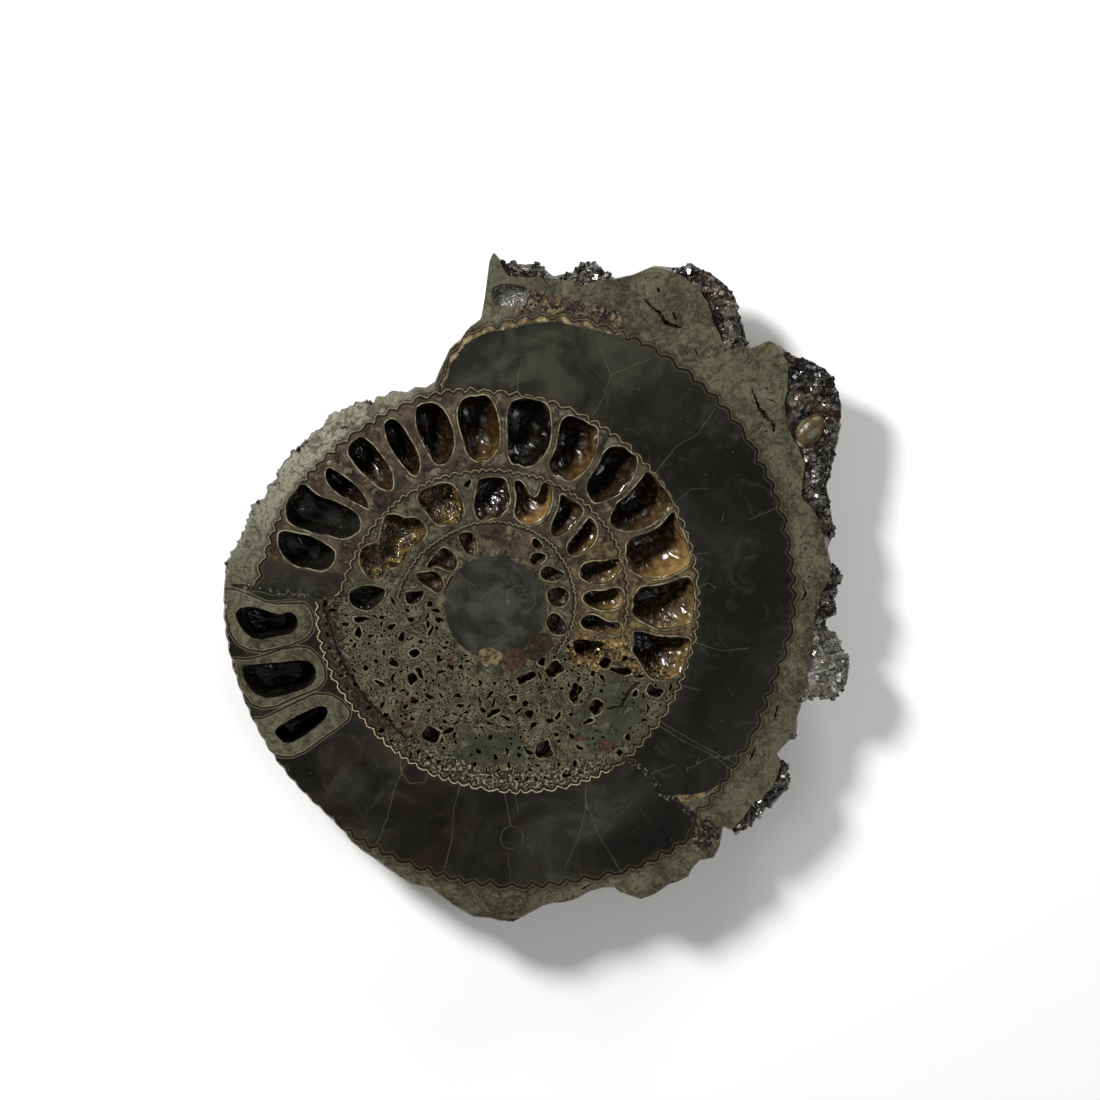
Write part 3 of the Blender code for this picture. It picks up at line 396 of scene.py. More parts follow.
# Each group of hollows, its depth, the share its walls close in to at the floor, and those walls
HOLLOWS = [
    (LINED_OUTER, OUTER_DEPTH, 0.8, HIDDEN_WALL), (DARK_SMOOTH, DARK_DEPTH, 0.6, DARK_WALL),
    (LINED_INNER, INNER_DEPTH, 0.8, HIDDEN_WALL), (OPEN_INNER, OPEN_DEPTH, 0.62, DRUSY_WALL),
    (DARK_OPEN, OPEN_DEPTH, 0.62, DARK_OPEN_WALL), (HUB_CHAMBERS, HUB_CHAMBER_DEPTH, 0.6, HUB_WALL),
]
# Exponent that squares off the corners of a pit
CORNER_ROUNDING = 0.6
WALL_POINT_SPACING = 0.42

# Mineral zones of the polished face, in the order of its materials
ZONES = [
    "dark_mudstone", "grey_mudstone", "crust_pyrite", "porous_pyrite", "granular_pyrite",
    "tan_shell", "fault_grains", "tan_calcite", "orange_calcite", "red_calcite", "smooth_pyrite",
    "gold_druse",
]
ZONE = {name: index for index, name in enumerate(ZONES)}

# The three calcite blobs below the hub disc: angle, radius, half length, half width, zone
HUB_BLOBS = [
    (264.3, 13.6, 3.1, 2.6, "tan_calcite"), (291, 15.0, 3.6, 2.9, "orange_calcite"),
    (318.0, 15.9, 4.2, 3.1, "red_calcite"),
]

# Turn angles of the zones: where the outer whorl's filling turns grey, where the second and the
# third whorl are rotten, and the grey start of the fourth. Then the second whorl's granular band
GREY_TURN = 297
ROTTEN_TURN = 124
THIRD_ROTTEN = (133, 6)
FOURTH_GREY = (1, 45)
BAND_ANGLES = (178, 302)
BAND_WIDTH = 5.4
# Crushed strip near the top: start and end angle, gap to the shell line, outer radius
CRUSHED_STRIP = (66, 86, 0.9, 86.0)
# Crushed wedge at the lower right: start and end angle, inner and outer radius
CRUSHED_WEDGE = (310.2, 315.3, 80.4, 87)
# Angles between which pores lie, and the radius they start at
PORE_ANGLES = (176, 340)
PORE_START = 15.0
# Turn angles between which the tan shell layer shows
LIP_STRIP = (1.2, 42)

# Thin pale cracks and the first fault: angle and radius of the points along each
PALE_CRACKS = [
    [(240, 47.6), (241, 56), (243, 64), (243.5, 71.5)],
    [(238, 48.0), (240, 51), (244, 53), (248, 51), (248.5, 48.2)],
    [(259, 48.5), (258.5, 56), (259.5, 64), (259, 72.5)],
    [(273, 50), (274, 59)],
    [(276, 50.5), (276.5, 55.5)],
    [(273, 66.5), (273.3, 74)],
    [(297, 54), (294, 60), (290, 66), (285, 73)],
    [(295, 58), (294.6, 68), (295.4, 79)],
    [(324, 53.8), (324.5, 62), (325.6, 70), (325.5, 78)],
    [(325.2, 54), (326, 66), (327, 78.2)],
    [(313, 61.6), (316, 63), (319, 64.8)],
    [(320, 68), (325, 70.8), (329, 77.8)],
    [(63, 58), (62.6, 64), (63.5, 70), (57, 81)],
    [(63.5, 70), (69, 77)],
    [(84, 59), (84.3, 63), (83.8, 67.5)],
    [(19, 73), (19.4, 81)],
    [(5, 54.6), (6.5, 58), (4.8, 60)], [(10, 54.8), (11, 57.5)], [(15, 54.9), (14.3, 59.5)],
    [(350, 54.4), (349, 62), (351, 70)], [(337, 54.2), (338, 60)], [(30, 56), (31, 62), (29, 66)],
    [(40, 57), (41.5, 65), (40.5, 72), (42, 80)],
]
FAULT_ONE = [
    [(176.4, 56.5), (176.9, 60), (176.2, 64), (176.8, 68), (176.4, 72.4)],
    [(178.2, 51), (177.9, 56), (178.6, 61), (178.0, 66), (178.5, 71.8)],
]
# Circular scratches: x, y, radius, start and end angle
HUB_SCRATCHES = [(6.6, 2.4, 3.4, 70, 215), (7.4, 2.0, 3.4, -80, 40), (4.5, -62.3, 3.1, -35, 290)]

# Turn angles between which the shell line is broken off or dissolved
SHELL_GAPS = [(286.5, 288.8), (646.5, 648.8), (852, 1010), (1222, 1378)]

# Dark cracks and the second fault: angle and radius of the points along each
DARK_CRACKS = [
    [(179, 46.6), (184, 45.2), (192, 44.3), (200, 43.9), (208, 43.0), (216, 42.7), (226, 42.1),
     (236, 42.9)],
    [(38.6, 90.2), (40.2, 90.8)], [(62.7, 91.4), (64.2, 92.6)],
    [(318, 41), (322, 43.5), (328, 42.6), (333, 44)],
]
FAULT_TWO = [
    (310.7, 54.0), (312.5, 59.4), (312.2, 64.8), (311.8, 67.5), (312.9, 71.3), (313.6, 77.8),
    (312.6, 80.5),
]


def smooth_reader(knots):
    """A function that reads many positions off a smooth curve that never overshoots."""
    at = np.array([k[0] for k in knots], float)
    value = np.array([k[1] for k in knots], float)
    slope = np.diff(value) / np.diff(at)
    product = slope[:-1] * slope[1:]
    total = np.where(product > 0, slope[:-1] + slope[1:], 1.0)
    bend = np.where(product > 0, 2 * product / total, 0.0)
    bend = np.concatenate([[slope[0]], bend, [slope[-1]]])

    def read(where):
        k = np.clip(np.searchsorted(at, where, side="right") - 1, 0, len(at) - 2)
        span = at[k + 1] - at[k]
        t = (where - at[k]) / span
        rise = t * t * (3 - 2 * t)
        return (value[k] + (value[k + 1] - value[k]) * rise
                + bend[k] * span * t * (1 - t) ** 2 - bend[k + 1] * span * t * t * (1 - t))
    return read


read_shell = smooth_reader(SHELL_LINE)


def read_ring(knots, angle):
    """Straight interpolation of (angle, value) knots round the full circle."""
    return np.interp(np.mod(angle, 360), [k[0] for k in knots], [k[1] for k in knots], period=360)


def wobble(x, y, size, seed, z=0.0):
    """Smooth noise from -1 to 1 with features of the given size."""
    z = np.broadcast_to(z, np.shape(x))
    return np.array([noise.noise(Vector((a / size + seed, b / size - seed, c / size)))
                     for a, b, c in zip(np.ravel(x), np.ravel(y), np.ravel(z))])


def rough(x, y, size, seed, z=0.0):
    """Three octaves of wobble."""
    return (wobble(x, y, size, seed, z) + 0.5 * wobble(x, y, size / 2.1, seed + 7, z)
            + 0.25 * wobble(x, y, size / 4.3, seed + 13, z))


def plan_xy(angle, radius):
    """Plan position at an angle and a distance from the coil axis."""
    around = np.radians(angle)
    return radius * np.cos(around), radius * np.sin(around)


def length_along(x, y):
    """How far along a line each of its points lies."""
    return np.concatenate([[0], np.cumsum(np.hypot(np.diff(x), np.diff(y)))])


def turned(cx, cy, along, across, lie):
    """Points given along and across a direction, placed about a middle."""
    return (cx + along * math.cos(lie) - across * math.sin(lie),
            cy + along * math.sin(lie) + across * math.cos(lie))


def scallop(turn):
    """Rounded lobes outwards with sharp cusps inwards, where the section cuts the ribs."""
    lobe = np.abs(np.sin(np.pi * turn * SCALLOPS_PER_TURN / 360))
    return (lobe - 0.62) * np.clip(read_shell(turn) / 58, 0.45, 1.1)


def shell_at(turn):
    """Radius of the crenulated shell line at a turn angle."""
    uneven = 0.25 * np.sin(turn * 0.31) + 0.2 * np.sin(turn * 0.117 + 1)
    strength = 1.15 + 0.45 * np.sin(turn * 0.73) * np.sin(turn * 0.211 + 2)
    jag = 0.12 * np.sin(turn * 5.3 + 3 * np.sin(turn * 0.9))
    return read_shell(turn) + strength * scallop(turn + 2.4 * uneven) + 0.25 * uneven + jag


def whorl_depth(turn):
    """Half a whorl's width, from its height."""
    height = read_shell(turn) - read_shell(np.minimum(turn + 360, LAST_TURN))
    return np.maximum(height * FLANK_RATIO, HUB_DEPTH)


class Shape:
    """Points, faces and values that are gathered and then made into one mesh."""

    def __init__(self):
        self.points = []
        self.count = 0
        self.faces = []
        self.face_materials = []
        self.values = {}

    def add_points(self, x, y, z):
        block = np.column_stack([np.ravel(x), np.ravel(y), np.broadcast_to(z, np.shape(x)).ravel()])
        first = self.count
        self.points.append(block)
        self.count += len(block)
        return np.arange(first, self.count)

    def add_faces(self, faces, material):
        self.faces.extend([tuple(int(i) for i in face) for face in faces])
        self.face_materials.extend([material] * len(faces))

    def bridge(self, upper, lower, material):
        """Quads from one closed ring down to the next."""
        a, b = np.asarray(upper), np.asarray(lower)
        self.add_faces(np.column_stack([a, np.roll(a, -1), np.roll(b, -1), b]), material)

    def fan(self, ring, middle, material):
        ring = np.asarray(ring)
        centre = np.full(len(ring), middle)
        self.add_faces(np.column_stack([centre, ring, np.roll(ring, -1)]), material)

    def coordinates(self):
        return np.concatenate(self.points)

    def make(self, name, materials, smooth=True):
        """The mesh object, moved from the coil axis into the row's frame, in metres."""
        points = (self.coordinates() + np.array([COIL_AXIS[0], COIL_AXIS[1], 0.0])) * MM
        points = np.clip(points, np.array(CAD_BOX[0]), np.array(CAD_BOX[1]))
        mesh = bpy.data.meshes.new(name)
        mesh.from_pydata(points.tolist(), [], self.faces)
        mesh.polygons.foreach_set("material_index", self.face_materials)
        mesh.polygons.foreach_set("use_smooth", [smooth] * len(self.faces))
        for material in materials:
            mesh.materials.append(material)
        for label, values in self.values.items():
            mesh.attributes.new(label, "FLOAT", "POINT").data.foreach_set("value", values)
        mesh.validate()
        made = bpy.data.objects.new(name, mesh)
        bpy.context.scene.collection.objects.link(made)
        return made


def pit_loop(pit, wobbly=0.16, seed=0.0):
    """Outline of a chamber or pit as x and y, with bowed septa and slightly uneven edges."""
    start, end, inner, outer, bow, _ = pit
    middle, half = (start + end) / 2, (end - start) / 2
    radius, reach = (inner + outer) / 2, (outer - inner) / 2
    length = 2 * (2 * reach + 2 * math.radians(half) * radius)
    count = max(int(length / WALL_POINT_SPACING), 14)
    around = -math.tau * (np.arange(count) + 0.5) / count
    across = np.sign(np.cos(around)) * np.abs(np.cos(around)) ** CORNER_ROUNDING
    along = np.sign(np.sin(around)) * np.abs(np.sin(around)) ** CORNER_ROUNDING
    angle = middle + half * across - bow * (0.55 - along ** 2)
    x, y = plan_xy(angle, radius + reach * along)
    grow = wobbly * rough(x, y, 2.2, seed)
    cx, cy = plan_xy(middle, radius)
    away = np.hypot(x - cx, y - cy)
    return x + (x - cx) / away * grow, y + (y - cy) / away * grow


def shell_turns():
    """The shell line's points, along the whole coil, at an even spacing."""
    turn = [0.0]
    while turn[-1] < 1400:
        turn.append(turn[-1] + math.degrees(0.36 / float(read_shell(np.array(turn[-1])))))
    return np.array(turn)


def crack(points):
    """A thin crack through given (angle, radius) points, with a point each 0.5 mm."""
    x, y = plan_xy(*np.array(points, float).T)
    step = length_along(x, y)
    at = np.arange(0, step[-1], 0.5)
    cx, cy = np.interp(at, step, x), np.interp(at, step, y)
    return cx + 0.18 * wobble(cx, cy, 2.5, 3), cy + 0.18 * wobble(cx, cy, 2.5, 8)


def distance_to(points, lines):
    """Distance of every point to the nearest point of some lines, searched in order of x."""
    px = np.concatenate([line[0] for line in lines])
    py = np.concatenate([line[1] for line in lines])
    order = np.argsort(px)
    px, py = px[order], py[order]
    best = np.full(len(points), FARTHEST)
    for k, (x, y) in enumerate(points):
        low = np.searchsorted(px, x - FARTHEST)
        high = np.searchsorted(px, x + FARTHEST)
        if high > low:
            best[k] = min(FARTHEST, np.hypot(px[low:high] - x, py[low:high] - y).min())
    return best


def inside_outline(x, y, outline_x, outline_y):
    """Which points lie inside a closed outline."""
    inside = np.zeros(len(x), bool)
    ends_x, ends_y = np.roll(outline_x, -1), np.roll(outline_y, -1)
    near = (np.abs(x - outline_x.mean()) < 16) & (np.abs(y - outline_y.mean()) < 16)
    for ax, ay, bx, by in zip(outline_x, outline_y, ends_x, ends_y):
        crosses = near & ((ay > y) != (by > y))
        share = (y[crosses] - ay) / (by - ay)
        hit = np.zeros(len(x), bool)
        hit[np.where(crosses)[0][x[crosses] < ax + share * (bx - ax)]] = True
        inside ^= hit
    return inside


def blob_reach(around, angle):
    """The uneven edge of a calcite blob, as a share of its half sizes."""
    return 1 + 0.08 * np.sin(3 * around + angle) + 0.05 * np.sin(5 * around)


def blob_outline(angle, radius, long, wide):
    """A rounded, slightly uneven outline, longer along the turn."""
    around = math.tau * np.arange(40) / 40
    reach = blob_reach(around, angle)
    x, y = plan_xy(angle, radius)
    return turned(x, y, long * reach * np.cos(around), wide * reach * np.sin(around),
                  math.radians(angle + 90))


def in_smooth_patch(angle, radius):
    """Whether points lie in one of the unbroken patches of pyrite."""
    return np.logical_or.reduce([
        (angle > start) & (angle < end) & (radius > inner) & (radius < outer)
        for start, end, inner, outer in SMOOTH_PATCHES])


def strip_width(turn):
    """Width of the tan shell layer behind the lip."""
    return 2.0 + 0.35 * np.sin(turn * 0.4) - 0.9 * np.clip((turn - 30) / 12, 0, 1)


def zone_of(x, y, fault_distance):
    """The mineral zone of each point of the polished face."""
    angle = np.mod(np.degrees(np.arctan2(y, x)), 360)
    radius = np.hypot(x, y)
    turn = np.mod(LIP_ANGLE - angle, 360)
    lines = [shell_at(turn + 360 * k) for k in range(4)]
    patchy = rough(x, y, 5.0, 31)
    zone = np.full(len(x), ZONE["crust_pyrite"])

    def fill(outline, jag, name):
        zone[inside_outline(x, y, *rounded(outline, jag))] = ZONE[name]

    outer = radius < lines[0]
    zone[outer] = ZONE["dark_mudstone"]
    zone[outer & (turn > GREY_TURN)] = ZONE["grey_mudstone"]
    for wall in THICK_WALLS:
        fill(wall, 0.12, "crust_pyrite")
    lip = outer & (turn > LIP_STRIP[0]) & (turn < LIP_STRIP[1])
    lip &= radius > read_shell(turn) - strip_width(turn) + 0.3 * patchy
    zone[lip] = ZONE["tan_shell"]
    fill(LOWER_CRUST, 0.1, "crust_pyrite")
    fill(LOWER_WEDGE, 0.1, "tan_calcite")

    second = radius < lines[1]
    zone[second] = ZONE["grey_mudstone"]
    rotten = second & (turn > ROTTEN_TURN)
    zone[rotten] = ZONE["porous_pyrite"]
    zone[rotten & in_smooth_patch(angle, radius) & (patchy > -0.35)] = ZONE["smooth_pyrite"]
    band = rotten & (angle > BAND_ANGLES[0]) & (angle < BAND_ANGLES[1])
    band &= radius > lines[1] - BAND_WIDTH - 2.2 * patchy
    zone[band] = ZONE["granular_pyrite"]

    third = radius < lines[2]
    zone[third] = ZONE["grey_mudstone"]
    zone[third & ((turn > THIRD_ROTTEN[0]) | (turn < THIRD_ROTTEN[1]))] = ZONE["porous_pyrite"]
    fourth = radius < lines[3]
    zone[fourth] = ZONE["porous_pyrite"]
    zone[fourth & (turn > FOURTH_GREY[0]) & (turn < FOURTH_GREY[1])] = ZONE["grey_mudstone"]
    for patch in OLIVE_WEDGES:
        fill(patch, 0.1, "crust_pyrite")
    fill(SHELL_WEDGE, 0.1, "tan_shell")
    fill(FAULT_BAND, 0.1, "fault_grains")
    druse = inside_outline(x, y, *rounded(GOLD_DRUSE, 0.3))
    zone[druse & (patchy > -0.7)] = ZONE["gold_druse"]
    zone[radius < hub_edge(angle)] = ZONE["dark_mudstone"]
    for rx, ry, long, wide in RUST_SPOTS:
        zone[np.hypot((x - rx) / long, (y - ry) / wide) < 1 + 0.3 * patchy] = ZONE["orange_calcite"]
    for blob_angle, blob_radius, long, wide, name in HUB_BLOBS:
        bx, by = plan_xy(blob_angle, blob_radius)
        side = math.radians(blob_angle + 90)
        along = (x - bx) * math.cos(side) + (y - by) * math.sin(side)
        across = (x - bx) * -math.sin(side) + (y - by) * math.cos(side)
        around = np.arctan2(across / wide, along / long)
        zone[np.hypot(along / long, across / wide) < blob_reach(around, blob_angle)] = ZONE[name]
    start, end, gap, far = CRUSHED_STRIP
    strip = (angle > start) & (angle < end) & (radius > lines[0] + gap) & (radius < far + 0.8 * patchy)
    zone[strip] = ZONE["fault_grains"]
    flaky = rough(x, y, 2.6, 57)
    zone[strip & (flaky < -0.12)] = ZONE["grey_mudstone"]
    zone[strip & (flaky > 0.14)] = ZONE["tan_calcite"]
    start, end, near, far = CRUSHED_WEDGE
    wedge = (angle > start) & (angle < end) & (radius > near) & (radius < far)
    zone[wedge & ~outer] = ZONE["fault_grains"]
    zone[fault_distance < 0.85 + 0.2 * patchy] = ZONE["fault_grains"]
    return zone


def small_vugs(taken_x, taken_y, rng):
    """Random irregular pores of the rotten pyrite, clear of each other and of every line."""
    pores = np.zeros((0, 3))
    for _ in range(PORE_TRIES):
        if len(pores) > MOST_PORES:
            break
        angle = rng.uniform(*PORE_ANGLES)
        turn = (LIP_ANGLE - angle) % 360
        outer = float(read_shell(np.array(turn + 360.0))) - 1.0
        radius = math.sqrt(rng.uniform(PORE_START ** 2, outer ** 2))
        in_band = radius > outer - 4.2 and angle < BAND_ANGLES[1]
        if (in_smooth_patch(angle, radius) or in_band) and rng.random() < 0.9:
            continue
        x, y = plan_xy(angle, radius)
        dense = 0.55 + 0.9 * noise.noise(Vector((x / 7, y / 7, 3)))
        if rng.random() > dense + (0.25 if angle < 262 else 0.0):
            continue
        size = 0.2 + 0.8 * rng.random() ** 2.4
        if np.hypot(taken_x - x, taken_y - y).min() - size * 1.3 < 0.22:
            continue
        if radius < 19.5 and 250 < angle < 336:
            continue
        clear = (size + pores[:, 2]) * 1.5 + 0.1
        if (np.hypot(pores[:, 0] - x, pores[:, 1] - y) < clear).any():
            continue
        pores = np.vstack([pores, (x, y, size)])
    return pores.tolist()


def pore_loop(x, y, size, rng):
    """An irregular outline, longer one way than the other and often bent."""
    count = 9 if size < 0.45 else 15
    around = math.tau * np.arange(count) / count
    stretch, lie = rng.uniform(0.85, 1.9), rng.uniform(0, math.pi)
    uneven = np.array([rng.uniform(0.6, 1.4) for _ in range(count)])
    along, across = size * stretch * uneven * np.cos(around), size / stretch * uneven * np.sin(around)
    across = across + rng.uniform(-0.5, 0.5) * along ** 2 / (size * stretch)
    return turned(x, y, along, across, lie)


def polished_edge():
    """Turn and angle of each column from the lip on, and the radii of the face and of the rim."""
    turn = 360 * np.arange(COLUMNS) / COLUMNS
    angle = LIP_ANGLE - turn
    reach = read_ring(CRUST_EDGE, angle)
    upper_left = np.clip((turn - 290) / 8, 0, 1) * np.clip((354 - turn) / 5, 0, 1)
    reach = reach + upper_left * np.clip(1.3 * rough(*plan_xy(angle, reach), 2.4, 47), -0.9, 0.6)
    edge = reach - read_ring(ROUGH_RIM, angle)
    x, y = plan_xy(angle, edge)
    ragged = 0.3 * rough(x, y, 2.0, 17) + 0.1 * rough(x, y, 0.9, 19)
    flaked = np.clip((rough(x, y, 1.6, 41) + 0.5 * rough(x, y, 3.6, 43)) * 1.3, 0, 1)
    ragged = ragged - 0.95 * flaked * np.clip((turn - 262) / 12, 0, 1) * np.clip((354 - turn) / 6, 0, 1)
    thin = np.clip(1.6 - (reach - read_shell(turn)) / 2, 0, 1)
    lobes = thin * scallop(turn)
    return turn, angle, edge - 0.2 + ragged + 0.55 * lobes, reach + 0.35 * lobes


def crystal_relief(along, down, rng, size, height, count):
    """Heights of pointed crystals scattered over a sheet that is laid out flat, in millimetres."""
    span, drop = along.max(), max(down.max(), 0.1)
    relief = np.zeros(len(along))
    for _ in range(count):
        at, deep = rng.uniform(0, span), rng.uniform(-0.1, 1.05) * drop
        reach = size * rng.uniform(0.6, 1.5)
        stretch = rng.uniform(0.65, 1.4)
        aside = np.abs(along - at)
        aside = np.minimum(aside, span - aside)
        away = np.maximum(aside / stretch, np.abs(down - deep) * stretch)
        away = np.maximum(away, (aside + np.abs(down - deep)) * 0.72)
        relief = np.maximum(relief, height * rng.uniform(0.5, 1.3) * np.clip(1 - away / reach, 0, 1))
    return relief


def sunk_sheet(shape, x, y, material, depth, narrowing, drift, rows, seed, top=0.0, inset=0.0,
               crystals=(0.0, 0.0, 0), uneven=0.07, closed_rows=4):
    """Walls and floor below a closed loop of points, narrowing and leaning towards the floor."""
    rng = random.Random(seed)
    cx, cy = middle_of(x, y)
    away = np.hypot(x - cx, y - cy)
    inward = np.column_stack([(cx - x) / away, (cy - y) / away])
    step = np.hypot(np.roll(x, -1) - x, np.roll(y, -1) - y)
    along = np.concatenate([[0], np.cumsum(step)[:-1]])
    shares = [k / rows for k in range(rows + 1)]
    closing = [1 - (k / closed_rows) ** 0.9 for k in range(1, closed_rows)]
    grid_x, grid_y, grid_z, grid_down = [], [], [], []
    for share in shares:
        scale = 1 - (1 - narrowing) * share ** 1.7
        bulge = 1 + uneven * rough(x, y, 1.9, seed % 97, depth * share) * min(1, 3 * share)
        px = cx + (x - cx) * scale * bulge + inward[:, 0] * inset + drift[0] * share ** 1.2
        py = cy + (y - cy) * scale * bulge + inward[:, 1] * inset + drift[1] * share ** 1.2
        grid_x.append(px)
        grid_y.append(py)
        grid_z.append(np.full(len(x), FACE - top - (depth - top) * share ** 0.85))
        grid_down.append(np.full(len(x), share * depth * 1.25))
    fx, fy = cx + drift[0], cy + drift[1]
    for number, scale in enumerate(closing, start=1):
        grid_x.append(fx + (grid_x[rows] - fx) * scale)
        grid_y.append(fy + (grid_y[rows] - fy) * scale)
        grid_z.append(np.full(len(x), FACE - depth * (1 + 0.03 * number)))
        grid_down.append(grid_down[rows] + (1 - scale) * away.mean() * narrowing)
    gx, gy, gz = np.array(grid_x), np.array(grid_y), np.array(grid_z)
    size, height, count = crystals
    if count:
        flat_along = np.tile(along, len(gx))
        flat_down = np.concatenate(grid_down)
        relief = crystal_relief(flat_along, flat_down, rng, size, height, count).reshape(gx.shape)
        relief[0] = 0
        gx += relief * inward[:, 0] * 0.8
        gy += relief * inward[:, 1] * 0.8
        gz += relief * 0.55
    above = None
    for row in range(len(gx)):
        ring = shape.add_points(gx[row], gy[row], np.minimum(gz[row], FACE))
        if above is not None:
            shape.bridge(above, ring, material)
        above = ring
    floor = shape.add_points([fx], [fy], FACE - depth * 1.1)
    shape.fan(above, floor[0], material)


def middle_of(x, y):
    return float(np.mean(x)), float(np.mean(y))


class Plan:
    """Points, edges and pits of the face, before it is cut into triangles."""

    def __init__(self):
        self.x, self.y, self.edges, self.pits = [], [], [], []
        self.cells = set()

    def add(self, line, closed=True):
        """Adds the points of a line, joined up, and says which they are."""
        first = len(self.x)
        self.x.extend(np.ravel(line[0]).tolist())
        self.y.extend(np.ravel(line[1]).tolist())
        last = len(self.x)
        self.edges.extend((k, k + 1) for k in range(first, last - 1))
        if closed:
            self.edges.append((last - 1, first))
        return list(range(first, last))

    def dig(self, mouth, depth, narrowing, wall):
        self.pits.append((self.add(mouth), depth, narrowing, wall))

    def fill_cells(self):
        """Marks the cells that hold a point already."""
        columns = np.round(np.array(self.x) / CELL).astype(int)
        rows = np.round(np.array(self.y) / CELL).astype(int)
        self.cells = set(zip(columns.tolist(), rows.tolist()))

    def scatter(self, xs, ys):
        """Adds loose points, where their cell is free."""
        for x, y in zip(xs, ys):
            cell = (round(x / CELL), round(y / CELL))
            if cell not in self.cells:
                self.cells.add(cell)
                self.x.append(x)
                self.y.append(y)


def drawn_shell(turn):
    """Where the shell line shows: out of its gaps and inside the crust's edge."""
    drawn = shell_at(turn) < read_ring(CRUST_EDGE, LIP_ANGLE - turn) - 0.9
    drawn |= turn > 300
    for start, end in SHELL_GAPS:
        drawn &= (turn < start) | (turn > end)
    return drawn


def dig_pits(plan):
    """Chambers, holes and crevices. Returns the mouths with pale rims and the thick walls' edges."""
    mouths = []
    wall_edges = [rounded(wall, 0.12) for wall in THICK_WALLS]
    for hole, wall_edge in zip(THICK_HOLES, wall_edges):
        plan.dig(rounded(hole, 0.1), THICK_WALLED_DEPTH, 0.62, THICK_WALL)
        plan.add(wall_edge)
    for outlines, depth, narrowing, wall in HOLLOWS:
        for outline in outlines:
            mouths.append(rounded(outline, 0.07))
            plan.dig(mouths[-1], depth, narrowing, wall)
    for pit in VUGS:
        mouths.append(pit_loop(pit, 0.55, seed=pit[0]))
        plan.dig(mouths[-1], pit[5], 0.65, VUG_WALL)
    for pit in LIP_RECESS:
        plan.dig(pit_loop(pit), pit[5], 0.85, RECESS_WALL)
    for patch in OLIVE_WEDGES + [SHELL_WEDGE, LOWER_CRUST, LOWER_WEDGE]:
        plan.add(rounded(patch, 0.1))
    for number, (*form, depth) in enumerate(RAGGED_VUGS):
        mouths.append(ragged_loop(*form, number))
        plan.dig(mouths[-1], depth, 0.6, VUG_WALL)
    for number, (points, half) in enumerate(CREVICES):
        plan.dig(crevice_loop(points, half, number), CREVICE_DEPTH, 0.75, BARE_WALL)
    around = np.arange(0, 360, 1.4)
    plan.add(plan_xy(around, hub_edge(around)))
    return mouths, wall_edges


def draw_cracks(plan, taken_x, taken_y, rng):
    """Cracks and scratches of the face. Returns the pale ones and the dark ones."""
    strokes = []
    for _ in range(SCRATCHES):
        at, far = rng.uniform(0, 360), rng.uniform(3, 76)
        strokes.append([(at, far), (at + rng.uniform(-1.6, 1.6), far + rng.uniform(-1.6, 1.6))])
    circles = [circle_arc(*scratch) for scratch in HUB_SCRATCHES]
    pale = []
    for points in PALE_CRACKS + FAULT_ONE + circles + strokes:
        x, y = crack(points)
        if points in strokes and np.hypot(taken_x[:, None] - x, taken_y[:, None] - y).min() < 0.8:
            continue
        plan.add((x, y), closed=False)
        pale.append((x, y))
    dark = [crack(points) for points in DARK_CRACKS]
    for line in dark:
        plan.add(line, closed=False)
    return pale, dark


def fill_face(plan, lines, shell_turn, drawn, rng):
    """Loose points beside the lines and evenly between them, which carry the face's values."""
    plan.fill_cells()
    for offset in (0.42, -0.42, 0.95, -0.95):
        x, y = plan_xy(LIP_ANGLE - shell_turn, shell_at(shell_turn) + offset)
        plan.scatter(x[drawn], y[drawn])
    for x, y in lines:
        cx, cy = middle_of(x, y)
        away = np.hypot(x - cx, y - cy)
        for grow in (0.42, 0.95):
            plan.scatter(x + (x - cx) / away * grow, y + (y - cy) / away * grow)
    x, y = np.meshgrid(np.arange(-86, 100, FACE_SPACING), np.arange(-92, 98, FACE_SPACING * 0.866))
    x[1::2] += FACE_SPACING / 2
    x, y = x.ravel(), y.ravel()
    near = np.hypot(x, y) < read_ring(CRUST_EDGE, np.degrees(np.arctan2(y, x))) + 1
    plan.scatter(x[near] + [rng.uniform(-0.12, 0.12) for _ in range(near.sum())],
                 y[near] + [rng.uniform(-0.12, 0.12) for _ in range(near.sum())])


def face_triangles(plan, border):
    """Corners and triangles of the face, without those outside it or in a pit."""
    rings = [border[::-1]] + [pit[0] for pit in plan.pits]
    points = [Vector((x, y)) for x, y in zip(plan.x, plan.y)]
    verts, _, tris, _, _, owners = delaunay_2d_cdt(points, plan.edges, rings, 1, 1e-5)
    flat = np.array([v[:] for v in verts])
    kept = [tri for tri, own in zip(tris, owners) if list(own) == [0]]
    kept = np.array([tri if ccw(flat, tri) else tri[::-1] for tri in kept])
    used = np.unique(kept)
    renumber = np.full(len(flat), -1)
    renumber[used] = np.arange(len(used))
    return flat[used], renumber[kept]


def shell_values(values, flat, shell_line):
    """Distance to the shell line on its two sides, and how cream it is there."""
    turn = np.mod(LIP_ANGLE - np.degrees(np.arctan2(flat[:, 1], flat[:, 0])), 360)
    off = np.array([np.hypot(flat[:, 0], flat[:, 1]) - shell_at(turn + 360 * k) for k in range(4)])
    nearest = np.argmin(np.abs(off), axis=0)
    outward = np.sign(off[nearest, np.arange(len(flat))])
    away = distance_to(flat, [shell_line])
    on_line = away < 0.02
    values["shell_inside"] = np.where((outward < 0) | on_line, away, OTHER_SIDE)
    values["shell_outside"] = np.where((outward > 0) | on_line, away, OTHER_SIDE)
    cream = np.array([0.12, 0.35, 0.3, 0.3])[nearest]
    cream = np.where((nearest == 1) & (turn > 160) & (turn < 290), 1.0, cream)
    values["shell_cream"] = np.where((nearest == 0) & (turn > 285), 0.5, cream)


